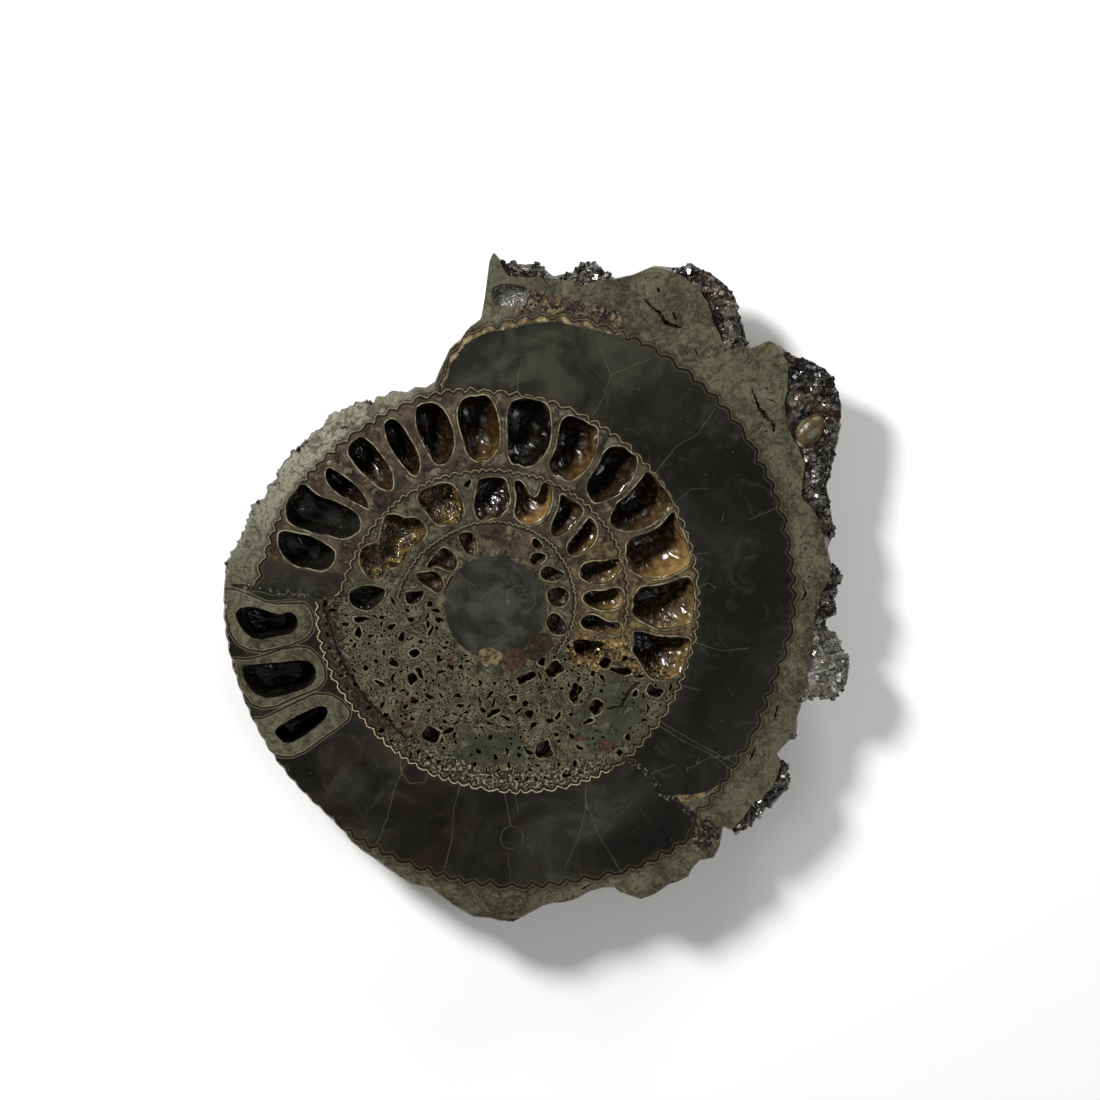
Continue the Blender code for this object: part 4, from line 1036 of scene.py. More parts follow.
def polished_face(shape, walls, pores):
    """The flat section, with the walls of every pit in it. Returns its outer edge."""
    rng = random.Random(5)
    plan = Plan()
    _, angle, edge, _ = polished_edge()
    border = plan.add(plan_xy(angle, edge))

    shell_turn = shell_turns()
    drawn = drawn_shell(shell_turn)
    shell_x, shell_y = plan_xy(LIP_ANGLE - shell_turn, shell_at(shell_turn))
    for part in np.split(np.arange(len(shell_turn)), np.where(~drawn)[0]):
        part = part[drawn[part]]
        if len(part) > 3:
            plan.add((shell_x[part], shell_y[part]), closed=False)

    mouths, wall_edges = dig_pits(plan)
    taken_x, taken_y = np.array(plan.x), np.array(plan.y)
    pore_loops = []
    for x, y, size in small_vugs(taken_x, taken_y, rng):
        pore_loops.append(pore_loop(x, y, size, rng))
        plan.dig(pore_loops[-1], 0.5 + 1.9 * size, 0.5, None)
    for *blob, _ in HUB_BLOBS:
        plan.add(blob_outline(*blob))
    strip = np.arange(*LIP_STRIP, 0.35)
    plan.add(plan_xy(LIP_ANGLE - strip, shell_at(strip) - strip_width(strip)), closed=False)
    pale, dark = draw_cracks(plan, taken_x, taken_y, rng)
    fill_face(plan, mouths + wall_edges, shell_turn, drawn, rng)

    flat, kept = face_triangles(plan, border)
    fault = crack(FAULT_TWO)
    centre = flat[kept].mean(axis=1)
    zone = zone_of(centre[:, 0], centre[:, 1], distance_to(centre, [fault]))
    shape.add_points(flat[:, 0], flat[:, 1], FACE)
    shape.faces.extend(map(tuple, kept.tolist()))
    shape.face_materials.extend(zone.tolist())
    shell_values(shape.values, flat, (shell_x[drawn], shell_y[drawn]))
    measured = [("dark_distance", dark + [fault]), ("septum_distance", mouths),
                ("pore_distance", pore_loops), ("frame_distance", wall_edges), ("crack_distance", pale)]
    for name, lines in measured:
        shape.values[name] = distance_to(flat, lines)

    px, py = np.array(plan.x), np.array(plan.y)
    for number, (loop, depth, narrowing, wall) in enumerate(plan.pits):
        x, y = px[loop], py[loop]
        if wall is None:
            sunk_sheet(pores, x, y, 0, depth, narrowing, (0.0, 0.0), 2, number, closed_rows=1)
            continue
        material, crystals, lean, rows = wall
        sunk_sheet(walls, x, y, material, depth, narrowing, lean, rows, number + 3, crystals=crystals)
    return px[border], py[border]


def ragged_loop(cx, cy, long, wide, lie, seed):
    """Outline of an irregular hole with jagged edges."""
    rng = random.Random(seed)
    count = max(int((long + wide) * 3.2 / WALL_POINT_SPACING), 12)
    around = math.tau * np.arange(count) / count
    reach = 1 + 0.22 * np.sin(2 * around + rng.uniform(0, 6)) + 0.16 * np.sin(3 * around + rng.uniform(0, 6))
    reach = reach + np.array([rng.uniform(-0.14, 0.14) for _ in range(count)])
    along, across = long * reach * np.cos(around), wide * reach * np.sin(around)
    return turned(cx, cy, along, across, math.radians(lie))


def crevice_loop(points, half, seed):
    """Outline of a crack with real width, pinched and swollen along its length."""
    rng = random.Random(seed + 40)
    x, y = plan_xy(*np.array(points, float).T)
    step = length_along(x, y)
    at = np.linspace(0, step[-1], max(int(step[-1] / 0.45), 4))
    cx, cy = np.interp(at, step, x), np.interp(at, step, y)
    dx, dy = np.gradient(cx), np.gradient(cy)
    size = np.hypot(dx, dy)
    taper = np.sin(math.pi * (0.08 + 0.84 * np.linspace(0, 1, len(at)))) ** 0.6
    left = half * taper * np.array([rng.uniform(0.5, 1.5) for _ in at])
    right = half * taper * np.array([rng.uniform(0.5, 1.5) for _ in at])
    lx, ly = cx - dy / size * left, cy + dx / size * left
    rx, ry = cx + dy / size * right, cy - dx / size * right
    return np.concatenate([rx, lx[::-1]]), np.concatenate([ry, ly[::-1]])


def rounded(outline, jag):
    """A closed outline through given corners, resampled with a slightly uneven edge."""
    x, y = np.array(outline).T
    x, y = np.append(x, x[0]), np.append(y, y[0])
    step = length_along(x, y)
    at = np.arange(0, step[-1], WALL_POINT_SPACING)
    rx, ry = np.interp(at, step, x), np.interp(at, step, y)
    for _ in range(3):
        rx = (np.roll(rx, 1) + 2 * rx + np.roll(rx, -1)) / 4
        ry = (np.roll(ry, 1) + 2 * ry + np.roll(ry, -1)) / 4
    rx, ry = rx + jag * rough(rx, ry, 1.6, 61), ry + jag * rough(rx, ry, 1.6, 67)
    if signed_area(rx, ry) < 0:
        rx, ry = rx[::-1], ry[::-1]
    return rx, ry


def signed_area(x, y):
    return 0.5 * float(np.sum(x * np.roll(y, -1) - np.roll(x, -1) * y))


def hub_edge(angle):
    """Radius of the hub disc, crenulated, with a notch at the top."""
    angle = np.asarray(angle, float)
    notch = np.clip((angle - 60) / 2, 0, 1) * np.clip((104 - angle) / 2, 0, 1)
    lobes = 0.35 * (np.abs(np.sin(np.radians(angle) * 18)) - 0.6)
    return 13.8 + 0.25 * np.sin(np.radians(angle) * 3 + 1) + lobes * (1 - notch)


def circle_arc(cx, cy, radius, start, end):
    """Angle and radius points of part of a circle that lies anywhere on the face."""
    around = np.radians(np.linspace(start, end, 16))
    x, y = cx + radius * np.cos(around), cy + radius * np.sin(around)
    return list(zip(np.degrees(np.arctan2(y, x)) % 360, np.hypot(x, y)))


def ccw(flat, tri):
    """Whether a triangle's corners run anticlockwise."""
    a, b, c = flat[tri[0]], flat[tri[1]], flat[tri[2]]
    return (b[0] - a[0]) * (c[1] - a[1]) - (b[1] - a[1]) * (c[0] - a[0]) > 0


def rib_relief(turn, across):
    """Ribs of the shell: single near the seam, forked towards the outer edge."""
    lean = 5.5 * across ** 2
    single = np.cos(np.radians((turn + lean) * SCALLOPS_PER_TURN / 2))
    forked = np.cos(np.radians((turn + lean) * SCALLOPS_PER_TURN))
    mix = np.clip((0.5 - across) / 0.25, 0, 1)
    ridge = (1 - mix) * single + mix * forked
    return 0.5 + 0.5 * np.sign(ridge) * np.abs(ridge) ** 0.8


# Rows of points down the flank
SIDE_ROWS = 11
# Rows of the unpolished rim: share of its width, and drop below the face
RIM_ROWS = [
    (0.02, 0.5), (0.07, 0.85), (0.14, 1.1), (0.22, 1.3), (0.31, 1.5), (0.40, 1.7), (0.49, 1.9),
    (0.58, 2.1), (0.67, 2.3), (0.76, 2.5), (0.85, 2.75), (0.92, 3.0), (0.975, 3.35),
]
# Depth of the natural side at a share across a whorl, as a share of the whorl's half width
FLANK_PROFILE = smooth_reader([
    (-0.04, 0.70), (0.03, 0.80), (0.12, 0.90), (0.22, 0.955), (0.42, 1.0), (0.70, 0.995),
    (0.84, 0.95), (0.93, 0.85), (0.98, 0.74), (1.05, 0.60),
])
# Shares across the outer whorl, the two inner ones and the hub where points lie
OUTER_ACROSS = [0.02, 0.07, 0.13, 0.2, 0.28, 0.37, 0.46, 0.55, 0.64, 0.73, 0.81, 0.88, 0.94, 0.99]
INNER_ACROSS = [0.1, 0.18, 0.27, 0.37, 0.48, 0.59, 0.69, 0.78, 0.86, 0.92, 0.97]
HUB_ACROSS = [0.15, 0.35, 0.55, 0.75, 0.9]


def natural_point_height(turn, across, radius, angle):
    """Height of the natural side at a share across a whorl, with ribs and crust."""
    depth = whorl_depth(turn) * FLANK_PROFILE(across)
    x, y = plan_xy(angle, radius)
    strength = whorl_depth(turn) / 20
    fade = np.clip(across / 0.1, 0.15, 1) * np.clip((1.0 - across) / 0.08, 0.1, 1)
    depth = depth + 1.2 * strength * rib_relief(turn, across) * fade
    crust = np.clip(wobble(x, y, 16, 41) * 2.2 - 0.2, 0, 1)
    depth = depth + 0.16 * rough(x, y, 1.7, 5) + crust * (0.25 + 0.4 * np.abs(rough(x, y, 2.6, 9)))
    return np.maximum(FACE - depth, 0.0)


def bridge_by_column(shape, upper, lower, druse):
    """Quads between two rings, drusy where the rim is wide."""
    quads = np.column_stack([upper, np.roll(upper, -1), np.roll(lower, -1), lower])
    shape.add_faces(quads[druse], 1)
    shape.add_faces(quads[~druse], 0)


def rim_and_flank(shape, border_x, border_y):
    """The drusy rim and the flank below it. Returns the ring of points at its foot."""
    turn, angle, edge, reach = polished_edge()
    shell = read_shell(turn)
    depth = np.maximum(whorl_depth(turn), whorl_depth(turn + 360))
    crust = reach - shell
    above = shape.add_points(border_x, border_y, FACE)
    wide = reach - edge
    druse = wide > 1.3
    for share, fall in RIM_ROWS:
        radius = edge + wide * share
        x, y = plan_xy(angle, radius)
        lumps = np.array([1 - 2 * noise.voronoi(Vector((a / 2.6, b / 2.6, fall)))[0][0]
                          for a, b in zip(x, y)])
        height = lumps * 0.9 + 0.45 * rough(x, y, 1.5, 53)
        height = height * np.clip(wide / 5, 0.05, 1) * min(1, share * 9)
        height = height - 1.6 * np.clip(1.6 - np.hypot(x - GRAIN[0], y - GRAIN[1]) / 4.5, 0, 1)
        ring = shape.add_points(*plan_xy(angle, radius + 0.3 * height * (share > 0.5)),
                                np.minimum(FACE - fall + height, FACE - 0.12))
        bridge_by_column(shape, above, ring, druse)
        above = ring
    for row in range(1, SIDE_ROWS + 1):
        t = row / SIDE_ROWS
        drop = 3.6 + np.maximum(depth * 0.74 - 3.6, 2) * t
        waist = np.interp(t, [0, 0.1, 0.45, 0.75, 1], [1, 0.97, 0.68, 0.36, 0.12])
        radius = shell + crust * waist
        x, y = plan_xy(angle, radius)
        lumps = rough(x, y, 4.2, 23, drop) * np.clip(crust / 6, 0.15, 1)
        radius = radius + (0.9 * lumps + 0.22 * rough(x, y, 1.3, 29, drop)) * math.sin(math.pi * t)
        radius = radius + 0.8 * rib_relief(turn, np.zeros(len(turn))) * t * (crust < 4)
        x, y = plan_xy(angle, radius)
        ring = shape.add_points(x, y, np.maximum(FACE - drop, 0))
        bridge_by_column(shape, above, ring, druse & (t < 0.7))
        above = ring
    return above


def natural_side(shape, border_x, border_y):
    """Rim, flank and ribbed underside, grown from the ring of the polished edge."""
    foot = rim_and_flank(shape, border_x, border_y)
    turn, angle, _, _ = polished_edge()
    grid = {}
    for whorl, shares in ((0, OUTER_ACROSS), (1, INNER_ACROSS), (2, INNER_ACROSS), (3, HUB_ACROSS)):
        here = turn + 360 * whorl
        last = whorl == 3
        outer_radius = read_shell(here)
        next_radius = np.full(COLUMNS, 4.0) if last else read_shell(np.minimum(here + 360, LAST_TURN))
        rows = []
        for share in shares:
            radius = outer_radius + (next_radius - outer_radius) * share
            height = natural_point_height(here, np.full(COLUMNS, share), radius, angle)
            rows.append(shape.add_points(*plan_xy(angle, radius), height))
        grid[whorl] = rows
        if not last:
            seam_turn = here + 360
            radius = next_radius - 0.04 * (next_radius - read_shell(np.minimum(seam_turn + 360, LAST_TURN)))
            x, y = plan_xy(angle, radius)
            height = FACE - 0.66 * whorl_depth(seam_turn) + 0.15 * rough(x, y, 1.7, 5)
            grid[whorl].append(shape.add_points(x, y, np.maximum(height, 0)))

    def column(whorl, k):
        """Points from the outer to the inner edge of a whorl, at one place round it."""
        if whorl == 0 and k == 0:
            return [foot[0]] * (len(OUTER_ACROSS) + 2)
        outer = foot[k] if whorl == 0 else column_end(whorl - 1, k)
        return [outer] + [row[k] for row in grid[whorl]]

    def column_end(whorl, k):
        return foot[0] if whorl == 0 and k == 0 else grid[whorl][-1][k]

    faces = []
    for whorl in range(4):
        for k in range(COLUMNS):
            if k + 1 < COLUMNS:
                left, right = column(whorl, k), column(whorl, k + 1)
            elif whorl < 3:
                left, right = column(whorl, k), column(whorl + 1, 0)
            else:
                continue
            size = max(len(left), len(right))
            left, right = stretched(left, size), stretched(right, size)
            for a, b, c, d in zip(left, right, right[1:], left[1:]):
                corners = tuple(dict.fromkeys((int(a), int(b), int(c), int(d))))
                if len(corners) > 2:
                    faces.append(corners)
    hub = shape.add_points([0.0], [0.0], FACE - UMBILICUS_ROOF)[0]
    rim = [column(3, k)[-1] for k in range(COLUMNS)]
    faces.extend((int(a), int(b), int(hub)) for a, b in zip(rim, rim[1:]))
    faces.extend(close_step(column(3, COLUMNS - 1), column(3, 0), int(hub)))
    shape.add_faces(faces, 0)


def stretched(items, size):
    """The same column with its entries repeated evenly up to a length."""
    picks = np.round(np.linspace(0, len(items) - 1, size)).astype(int)
    return [items[k] for k in picks]


def close_step(closing, start, hub):
    """Faces that close the last column of the hub back to its first."""
    made = []
    for a, b, c, d in zip(closing, start, start[1:], closing[1:]):
        made.append(tuple(int(i) for i in (a, b, c, d)))
    made.append((int(closing[-1]), int(start[-1]), hub))
    return made


LINED = [(outline, OUTER_DEPTH) for outline in LINED_OUTER]
LINED += [(outline, INNER_DEPTH) for outline in LINED_INNER]
# Crystals of each lining: brightness from black to gold, size, height, and how orange they are
LINING_LOOKS = [
    (0.85, 1.4, 0.8, 0.3), (0.85, 1.4, 0.8, 0.2), (1.1, 2.4, 0.9, 0.8), (0.6, 2.4, 0.9, 0.3),
    (0.4, 2.6, 0.9, 0.5), (0.6, 2.8, 0.9, 0.7), (0.03, 3.6, 1.0, 0.0), (0.55, 3.4, 0.9, 1.0),
    (0.36, 2.6, 0.8, 0.6), (0.28, 2.2, 0.8, 0.5), (0.42, 2.0, 0.8, 0.5), (0.36, 2.0, 0.8, 0.6),
    (0.85, 1.2, 0.6, 0.2), (0.8, 1.2, 0.6, 0.2), (0.95, 1.2, 0.6, 0.1), (0.9, 1.2, 0.6, 0.1),
    (0.75, 1.6, 0.7, 0.5), (0.6, 1.8, 0.7, 0.4), (1.05, 2.2, 0.7, 0.9), (0.4, 1.6, 0.6, 0.0),
]
# Linings with larger crystals than this are shaded smooth
SMOOTH_SIZE = 1.6


def painted_light_share(x, y, cx, cy):
    """Painted light: from 0 at a hollow's upper left to 1 at its lower right, the side the key light falls
    on.
    """
    away = np.maximum(np.hypot(x - cx, y - cy), 1e-6)
    return 0.5 + 0.5 * ((x - cx) * 0.77 - (y - cy) * 0.64) / max(away.max(), 1e-6)


def chamber_lining(number, outline, depth, look):
    """The crust of crystals that lines one chamber, open and hollow towards the upper left."""
    tone, size, height, warmth = look
    shape = Shape()
    x, y = rounded(outline, 0.07)
    area = abs(signed_area(x, y))
    count = int(2.2 * area / size ** 2)
    lean = 0.12 * math.sqrt(area) + 0.5
    sunk_sheet(shape, x, y, 0, depth * 0.93, 0.50, (-1.5 * lean, 1.15 * lean), 17, 900 + number,
               top=0.35, inset=0.16, crystals=(size, height, min(count, 420)), uneven=0.09, closed_rows=7)
    points = shape.coordinates()
    # Painted light and shade: the lining's tone is made brighter towards its lower right, where the light
    # falls, and darker deeper down in the hollow, where shade falls.
    painted_light = painted_light_share(points[:, 0], points[:, 1], *middle_of(x, y))
    painted_depth_shade = np.clip((FACE - points[:, 2]) / depth, 0, 1)
    shape.values["tone"] = tone * (0.2 + 1.1 * np.clip(painted_light, 0, 1) ** 1.2) * (1 - 0.3 * painted_depth_shade)
    shape.values["warmth"] = np.full(len(points), warmth)
    return shape


def cube(shape, centre, size, rng, material, squash=1.0):
    """A small crystal, turned at random."""
    turn = Matrix.Rotation(rng.uniform(0, 6.28), 3, "Z") @ Matrix.Rotation(rng.uniform(0, 6.28), 3, "X")
    turn = turn @ Matrix.Rotation(rng.uniform(0, 6.28), 3, "Z")
    corners = [Vector((a, b, c * squash)) for a in (-1, 1) for b in (-1, 1) for c in (-1, 1)]
    placed = np.array([centre + np.array(turn @ (corner * (size / 2))) for corner in corners])
    first = shape.add_points(placed[:, 0], placed[:, 1], placed[:, 2])[0]
    sides = [(0, 1, 3, 2), (4, 6, 7, 5), (0, 4, 5, 1), (2, 3, 7, 6), (0, 2, 6, 4), (1, 5, 7, 3)]
    shape.add_faces([[first + k for k in side] for side in sides], material)


# Drusy lumps of the rim: angle, radius, size
RIM_LUMPS = [
    (74.0, 93.2, 4.0),
    (48.4, 94.5, 2.6), (49.6, 98.0, 3.3), (52.2, 101.5, 3.9), (54.8, 103.0, 3.6), (57.6, 104.2, 3.1),
    (60.2, 103.6, 2.3),
    (22.4, 94.6, 3.4), (25.2, 98.2, 3.4), (28.2, 102.4, 3.4), (31.2, 104.8, 3.8), (34.0, 106.4, 4.2),
    (34.4, 99.6, 4.0), (37.0, 104.2, 3.8), (39.8, 103.2, 2.4), (32.0, 99.0, 3.0),
    (0.2, 89.8, 2.5), (2.8, 90.2, 2.2), (5.0, 91.6, 2.5), (14.0, 91.8, 2.4), (17.8, 92.2, 2.7),
    (347.0, 92.6, 4.6), (350.3, 92.6, 5.0), (353.4, 90.0, 4.2), (347.8, 88.2, 3.4), (352.0, 87.4, 3.4),
    (319.2, 88.4, 2.5), (322.2, 88.9, 2.5), (325.5, 90.0, 2.8), (328.4, 89.9, 2.8), (330.4, 88.8, 2.1),
    (337.0, 86.4, 2.1), (272.8, 83.2, 2.2),
]

# Middle of the calcite grain
GRAIN = tuple(plan_xy(29.2, 97.4))


def unit_ball(subdivisions):
    """Corners and triangles of a ball of radius one."""
    ball = bmesh.new()
    bmesh.ops.create_icosphere(ball, subdivisions=subdivisions, radius=1.0)
    corners = np.array([v.co[:] for v in ball.verts])
    faces = np.array([[v.index for v in f.verts] for f in ball.faces])
    ball.free()
    return corners, faces


def rim_crystals():
    """Lumps of drusy pyrite round the rim, each studded with small crystals."""
    shape = Shape()
    rng = random.Random(11)
    unit, faces = unit_ball(4)
    for angle, radius, size in RIM_LUMPS:
        x, y = plan_xy(angle, radius)
        z = FACE - size - rng.uniform(0.2, 0.9)
        if math.hypot(x - GRAIN[0], y - GRAIN[1]) < 7:
            z -= 1.2
        cuts = [Vector((rng.gauss(0, 1), rng.gauss(0, 1), rng.gauss(0, 1))).normalized() for _ in range(16)]
        slopes = unit @ np.array([cut[:] for cut in cuts]).T
        swell = 1 / np.maximum(slopes.max(axis=1), 0.6)
        points = unit * (size * 0.86 * np.minimum(swell, 1.16))[:, None]
        shake = rough(points[:, 0], points[:, 1], 1.1, radius, points[:, 2])
        points = points * (1 + 0.06 * shake[:, None])
        placed = shape.add_points(x + points[:, 0], y + points[:, 1],
                                  np.minimum(z + points[:, 2] * 0.95, FACE - 0.1))
        shape.add_faces(faces + placed[0], 0)
        for _ in range(int(9 * size)):
            lie = Vector((rng.gauss(0, 1), rng.gauss(0, 1), abs(rng.gauss(0, 1)) * 0.9)).normalized()
            centre = np.array([x, y, z]) + np.array(lie) * size * rng.uniform(0.84, 0.97)
            if centre[2] < FACE - 0.6 and math.hypot(centre[0] - GRAIN[0], centre[1] - GRAIN[1]) > 4.6:
                cube(shape, centre, rng.uniform(0.4, 1.5), rng, 0, rng.uniform(0.6, 1.2))
    _, angle, edge, reach = polished_edge()
    for _ in range(RIM_CUBES):
        k = rng.randrange(COLUMNS)
        wide = reach[k] - edge[k]
        if wide < 1.2 + 1.2 * rng.random():
            continue
        share = rng.random() ** 0.8
        radius = edge[k] + wide * share * 0.96
        drop = 0.35 + 2.6 * share ** 1.5 + rng.uniform(0, 0.5)
        x, y = plan_xy(angle[k], radius)
        if math.hypot(x - GRAIN[0], y - GRAIN[1]) > 5.4:
            cube(shape, np.array([x, y, FACE - drop]), rng.uniform(0.4, 1.6), rng, 0, rng.uniform(0.6, 1.2))
    return shape


def calcite_grain():
    """The rounded calcite grain in the rim, amber in the middle, with a painted highlight at its inner end.
    """
    shape = Shape()
    unit, faces = unit_ball(5)
    lumpy = 1 + 0.05 * rough(unit[:, 0] * 4, unit[:, 1] * 4, 2.0, 3, unit[:, 2] * 4)
    blunt = 1 + 0.12 * np.sign(unit[:, 0]) * unit[:, 0] ** 2
    long, wide, high = 5.3 * unit[:, 0] * lumpy, 3.25 * unit[:, 1] * lumpy * blunt, 2.5 * unit[:, 2] * lumpy
    x, y = turned(*GRAIN, long, wide, math.radians(50))
    shape.add_points(x, y, np.minimum(FACE - 2.7 + high, FACE - 0.15))
    shape.add_faces(faces, 0)
    shape.values["along"] = unit[:, 0]
    shape.values["across"] = np.abs(unit[:, 1])
    return shape


class Look:
    """A Principled material, the colour it has so far, and short ways to build its nodes."""

    def __init__(self, name):
        self.material = bpy.data.materials.new(name)
        self.material.use_nodes = True
        self.tree = self.material.node_tree
        self.surface = next(n for n in self.tree.nodes if n.type == "BSDF_PRINCIPLED")
        self.place = self.node("TexCoord").outputs["Object"]
        self.colour = None

    def node(self, kind):
        return self.tree.nodes.new("ShaderNode" + kind)

    def link(self, value, socket):
        if isinstance(value, bpy.types.NodeSocket):
            self.tree.links.new(value, socket)
        elif isinstance(value, tuple) and len(value) == 3 and socket.type == "RGBA":
            socket.default_value = (*value, 1)
        else:
            socket.default_value = value

    def set(self, **values):
        for name, value in values.items():
            self.link(value, self.surface.inputs[name.replace("_", " ")])

    def warped(self, size, amount):
        """Object coordinates pushed about by noise, so that bands swirl."""
        push = self.node("TexNoise")
        push.inputs["Scale"].default_value = 1000 / size
        push.inputs["Detail"].default_value = 2
        self.link(self.place, push.inputs["Vector"])
        shift = self.node("VectorMath")
        shift.operation = "MULTIPLY_ADD"
        self.link(push.outputs["Color"], shift.inputs[0])
        shift.inputs[1].default_value = (amount * MM,) * 3
        self.link(self.place, shift.inputs[2])
        return shift.outputs[0]

    def noise(self, size, detail=3, roughness=0.55, distortion=0.0, where=None):
        node = self.node("TexNoise")
        self.link(where or self.place, node.inputs["Vector"])
        node.inputs["Scale"].default_value = 1000 / size
        node.inputs["Detail"].default_value = detail
        node.inputs["Roughness"].default_value = roughness
        node.inputs["Distortion"].default_value = distortion
        return node.outputs["Fac"]

    def cells(self, size, output="Distance"):
        node = self.node("TexVoronoi")
        self.link(self.place, node.inputs["Vector"])
        node.inputs["Scale"].default_value = 1000 / size
        return node.outputs[output]

    def attribute(self, name):
        node = self.node("Attribute")
        node.attribute_name = name
        return node.outputs["Fac"]

    def axis(self, index):
        node = self.node("SeparateXYZ")
        self.link(self.place, node.inputs[0])
        return node.outputs[index]

    def math(self, operation, a, b=0.0, c=0.0):
        node = self.node("Math")
        node.operation = operation
        for socket, value in zip(node.inputs, (a, b, c)):
            self.link(value, socket)
        return node.outputs[0]

    def times(self, a, b):
        return self.math("MULTIPLY", a, b)

    def plus(self, a, b):
        return self.math("ADD", a, b)

    def threads(self, *noise):
        """A value near zero along thin winding lines, where a noise passes its middle."""
        return self.math("ABSOLUTE", self.math("SUBTRACT", self.noise(*noise), 0.5))

    def span(self, value, low, high, out_low=0.0, out_high=1.0):
        node = self.node("MapRange")
        node.interpolation_type = "SMOOTHSTEP"
        self.link(value, node.inputs["Value"])
        limits = {"From Min": low, "From Max": high, "To Min": out_low, "To Max": out_high}
        for name, number in limits.items():
            node.inputs[name].default_value = number
        return node.outputs["Result"]

    def mix(self, share, a, b):
        node = self.node("Mix")
        node.data_type = "RGBA"
        self.link(share, node.inputs["Factor"])
        self.link(a, node.inputs[6])
        self.link(b, node.inputs[7])
        return node.outputs[2]

    def ramp(self, value, *stops):
        """Colours between stops, each of them a position and a screen colour."""
        node = self.node("ValToRGB")
        self.link(value, node.inputs[0])
        elements = node.color_ramp.elements
        while len(elements) < len(stops):
            elements.new(0.5)
        for element, (at, *colour) in zip(elements, stops):
            element.position = at
            element.color = (*tone(*colour), 1)
        return node.outputs[0]

    def base(self, value, *stops):
        """Starts the material's colour from a ramp."""
        self.colour = self.ramp(value, *stops)

    def tint(self, share, *over):
        """Lays a screen colour, or one ready colour, over the material's colour."""
        self.colour = self.mix(share, self.colour, over[0] if len(over) == 1 else tone(*over))

    def bump(self, *layers):
        """Chained bumps, each a height value and its depth in millimetres."""
        normal = None
        for value, depth in layers:
            node = self.node("Bump")
            node.inputs["Distance"].default_value = depth * MM
            self.link(value, node.inputs["Height"])
            if normal is not None:
                self.link(normal, node.inputs["Normal"])
            normal = node.outputs[0]
        self.link(normal, self.surface.inputs["Normal"])


def tone(red, green, blue):
    """Linear colour of a screen colour given from 0 to 255."""
    return tuple(((v / 255 + 0.055) / 1.055) ** 2.4 if v > 10 else v / 255 / 12.92
                 for v in (red, green, blue))


def face_lines(look, shell, septa):
    """The shell line, the chambers' pale rims and the cracks, drawn over a zone's colour."""
    inside = look.attribute("shell_inside")
    outside = look.attribute("shell_outside")
    septum_distance = look.attribute("septum_distance")
    crack_distance = look.attribute("crack_distance")
    dark_distance = look.attribute("dark_distance")
    frame_distance = look.attribute("frame_distance")
    cream = look.attribute("shell_cream")
    patchy = look.noise(6.0, 2)
    fine = look.noise(0.9, 2)

    def band(distance, low, high, soft=0.06):
        ending = look.span(distance, high - soft, high, 1, 0)
        return look.times(look.span(distance, low, low + soft), ending)

    def paint(share, strength, *over):
        look.tint(look.times(share, strength), *over)

    worn = look.span(fine, 0.25, 0.5, 0.3, 1.0)
    away = look.math("MINIMUM", inside, outside)
    halo = look.times(look.span(away, 0.4, 1.6, 1, 0), look.span(patchy, 0.3, 0.6, 0.4, 1))
    paint(halo, 0.6 * shell, 38, 30, 20)
    paint(look.times(band(inside, 0.82, 1.05), worn), 0.4 * shell, 92, 84, 62)
    paint(band(inside, 0.05, 0.6, 0.1), 0.85 * shell, 15, 12, 8)
    paint(band(outside, 0.3, 0.62), 0.5 * shell, 22, 18, 12)
    pale = look.mix(cream, tone(86, 78, 56), tone(172, 160, 128))
    bright = look.times(look.span(outside, 0.22, 0.3, 1, 0), look.span(cream, 0.0, 0.3, 0.45, 1.0))
    paint(look.times(bright, worn), 0.9 * shell, pale)

    spread = look.math("MULTIPLY_ADD", look.noise(3.6, 2), -2.6, 1.3)
    wide = look.plus(septum_distance, spread)
    paint(look.span(wide, 0.5, 0.62, 1, 0), 0.4 * septa, 80, 75, 56)
    paint(band(septum_distance, 0.62, 0.82), 0.75 * septa, 20, 16, 10)
    paint(band(septum_distance, 0.82, 1.0), 0.35 * septa, 88, 78, 56)
    chalky = look.mix(look.span(look.noise(2.6, 3), 0.42, 0.6), tone(66, 60, 42), tone(140, 134, 110))
    paint(look.times(band(septum_distance, 0.05, 0.44, 0.1), worn), 0.9 * septa, chalky)
    paint(look.span(frame_distance, 0.14, 0.3, 1, 0), 0.85, 22, 18, 12)
    paint(band(frame_distance, 0.3, 0.55), 0.5, 118, 110, 86)
    paint(band(frame_distance, 0.75, 0.95), 0.4, 30, 25, 17)

    vein = look.times(look.span(crack_distance, 0.03, 0.2, 1, 0), look.span(patchy, 0.25, 0.7, 0.35, 0.9))
    paint(vein, 0.6, 92, 88, 68)
    ragged = look.plus(dark_distance, look.math("MULTIPLY_ADD", fine, 0.9, -0.45))
    look.tint(look.span(ragged, 0.25, 0.45, 1, 0), 9, 8, 6)


def face_finish(look, roughness, metallic=0.0, relief=0.02, shell=1.0, septa=1.0):
    """Draws the lines over a zone's colour, and sets its gloss and fine relief."""
    face_lines(look, shell, septa)
    look.set(Base_Color=look.colour, Roughness=roughness, Metallic=metallic, Specular_IOR_Level=0.3)
    look.bump((look.noise(0.7, 3), relief))
    return look.material


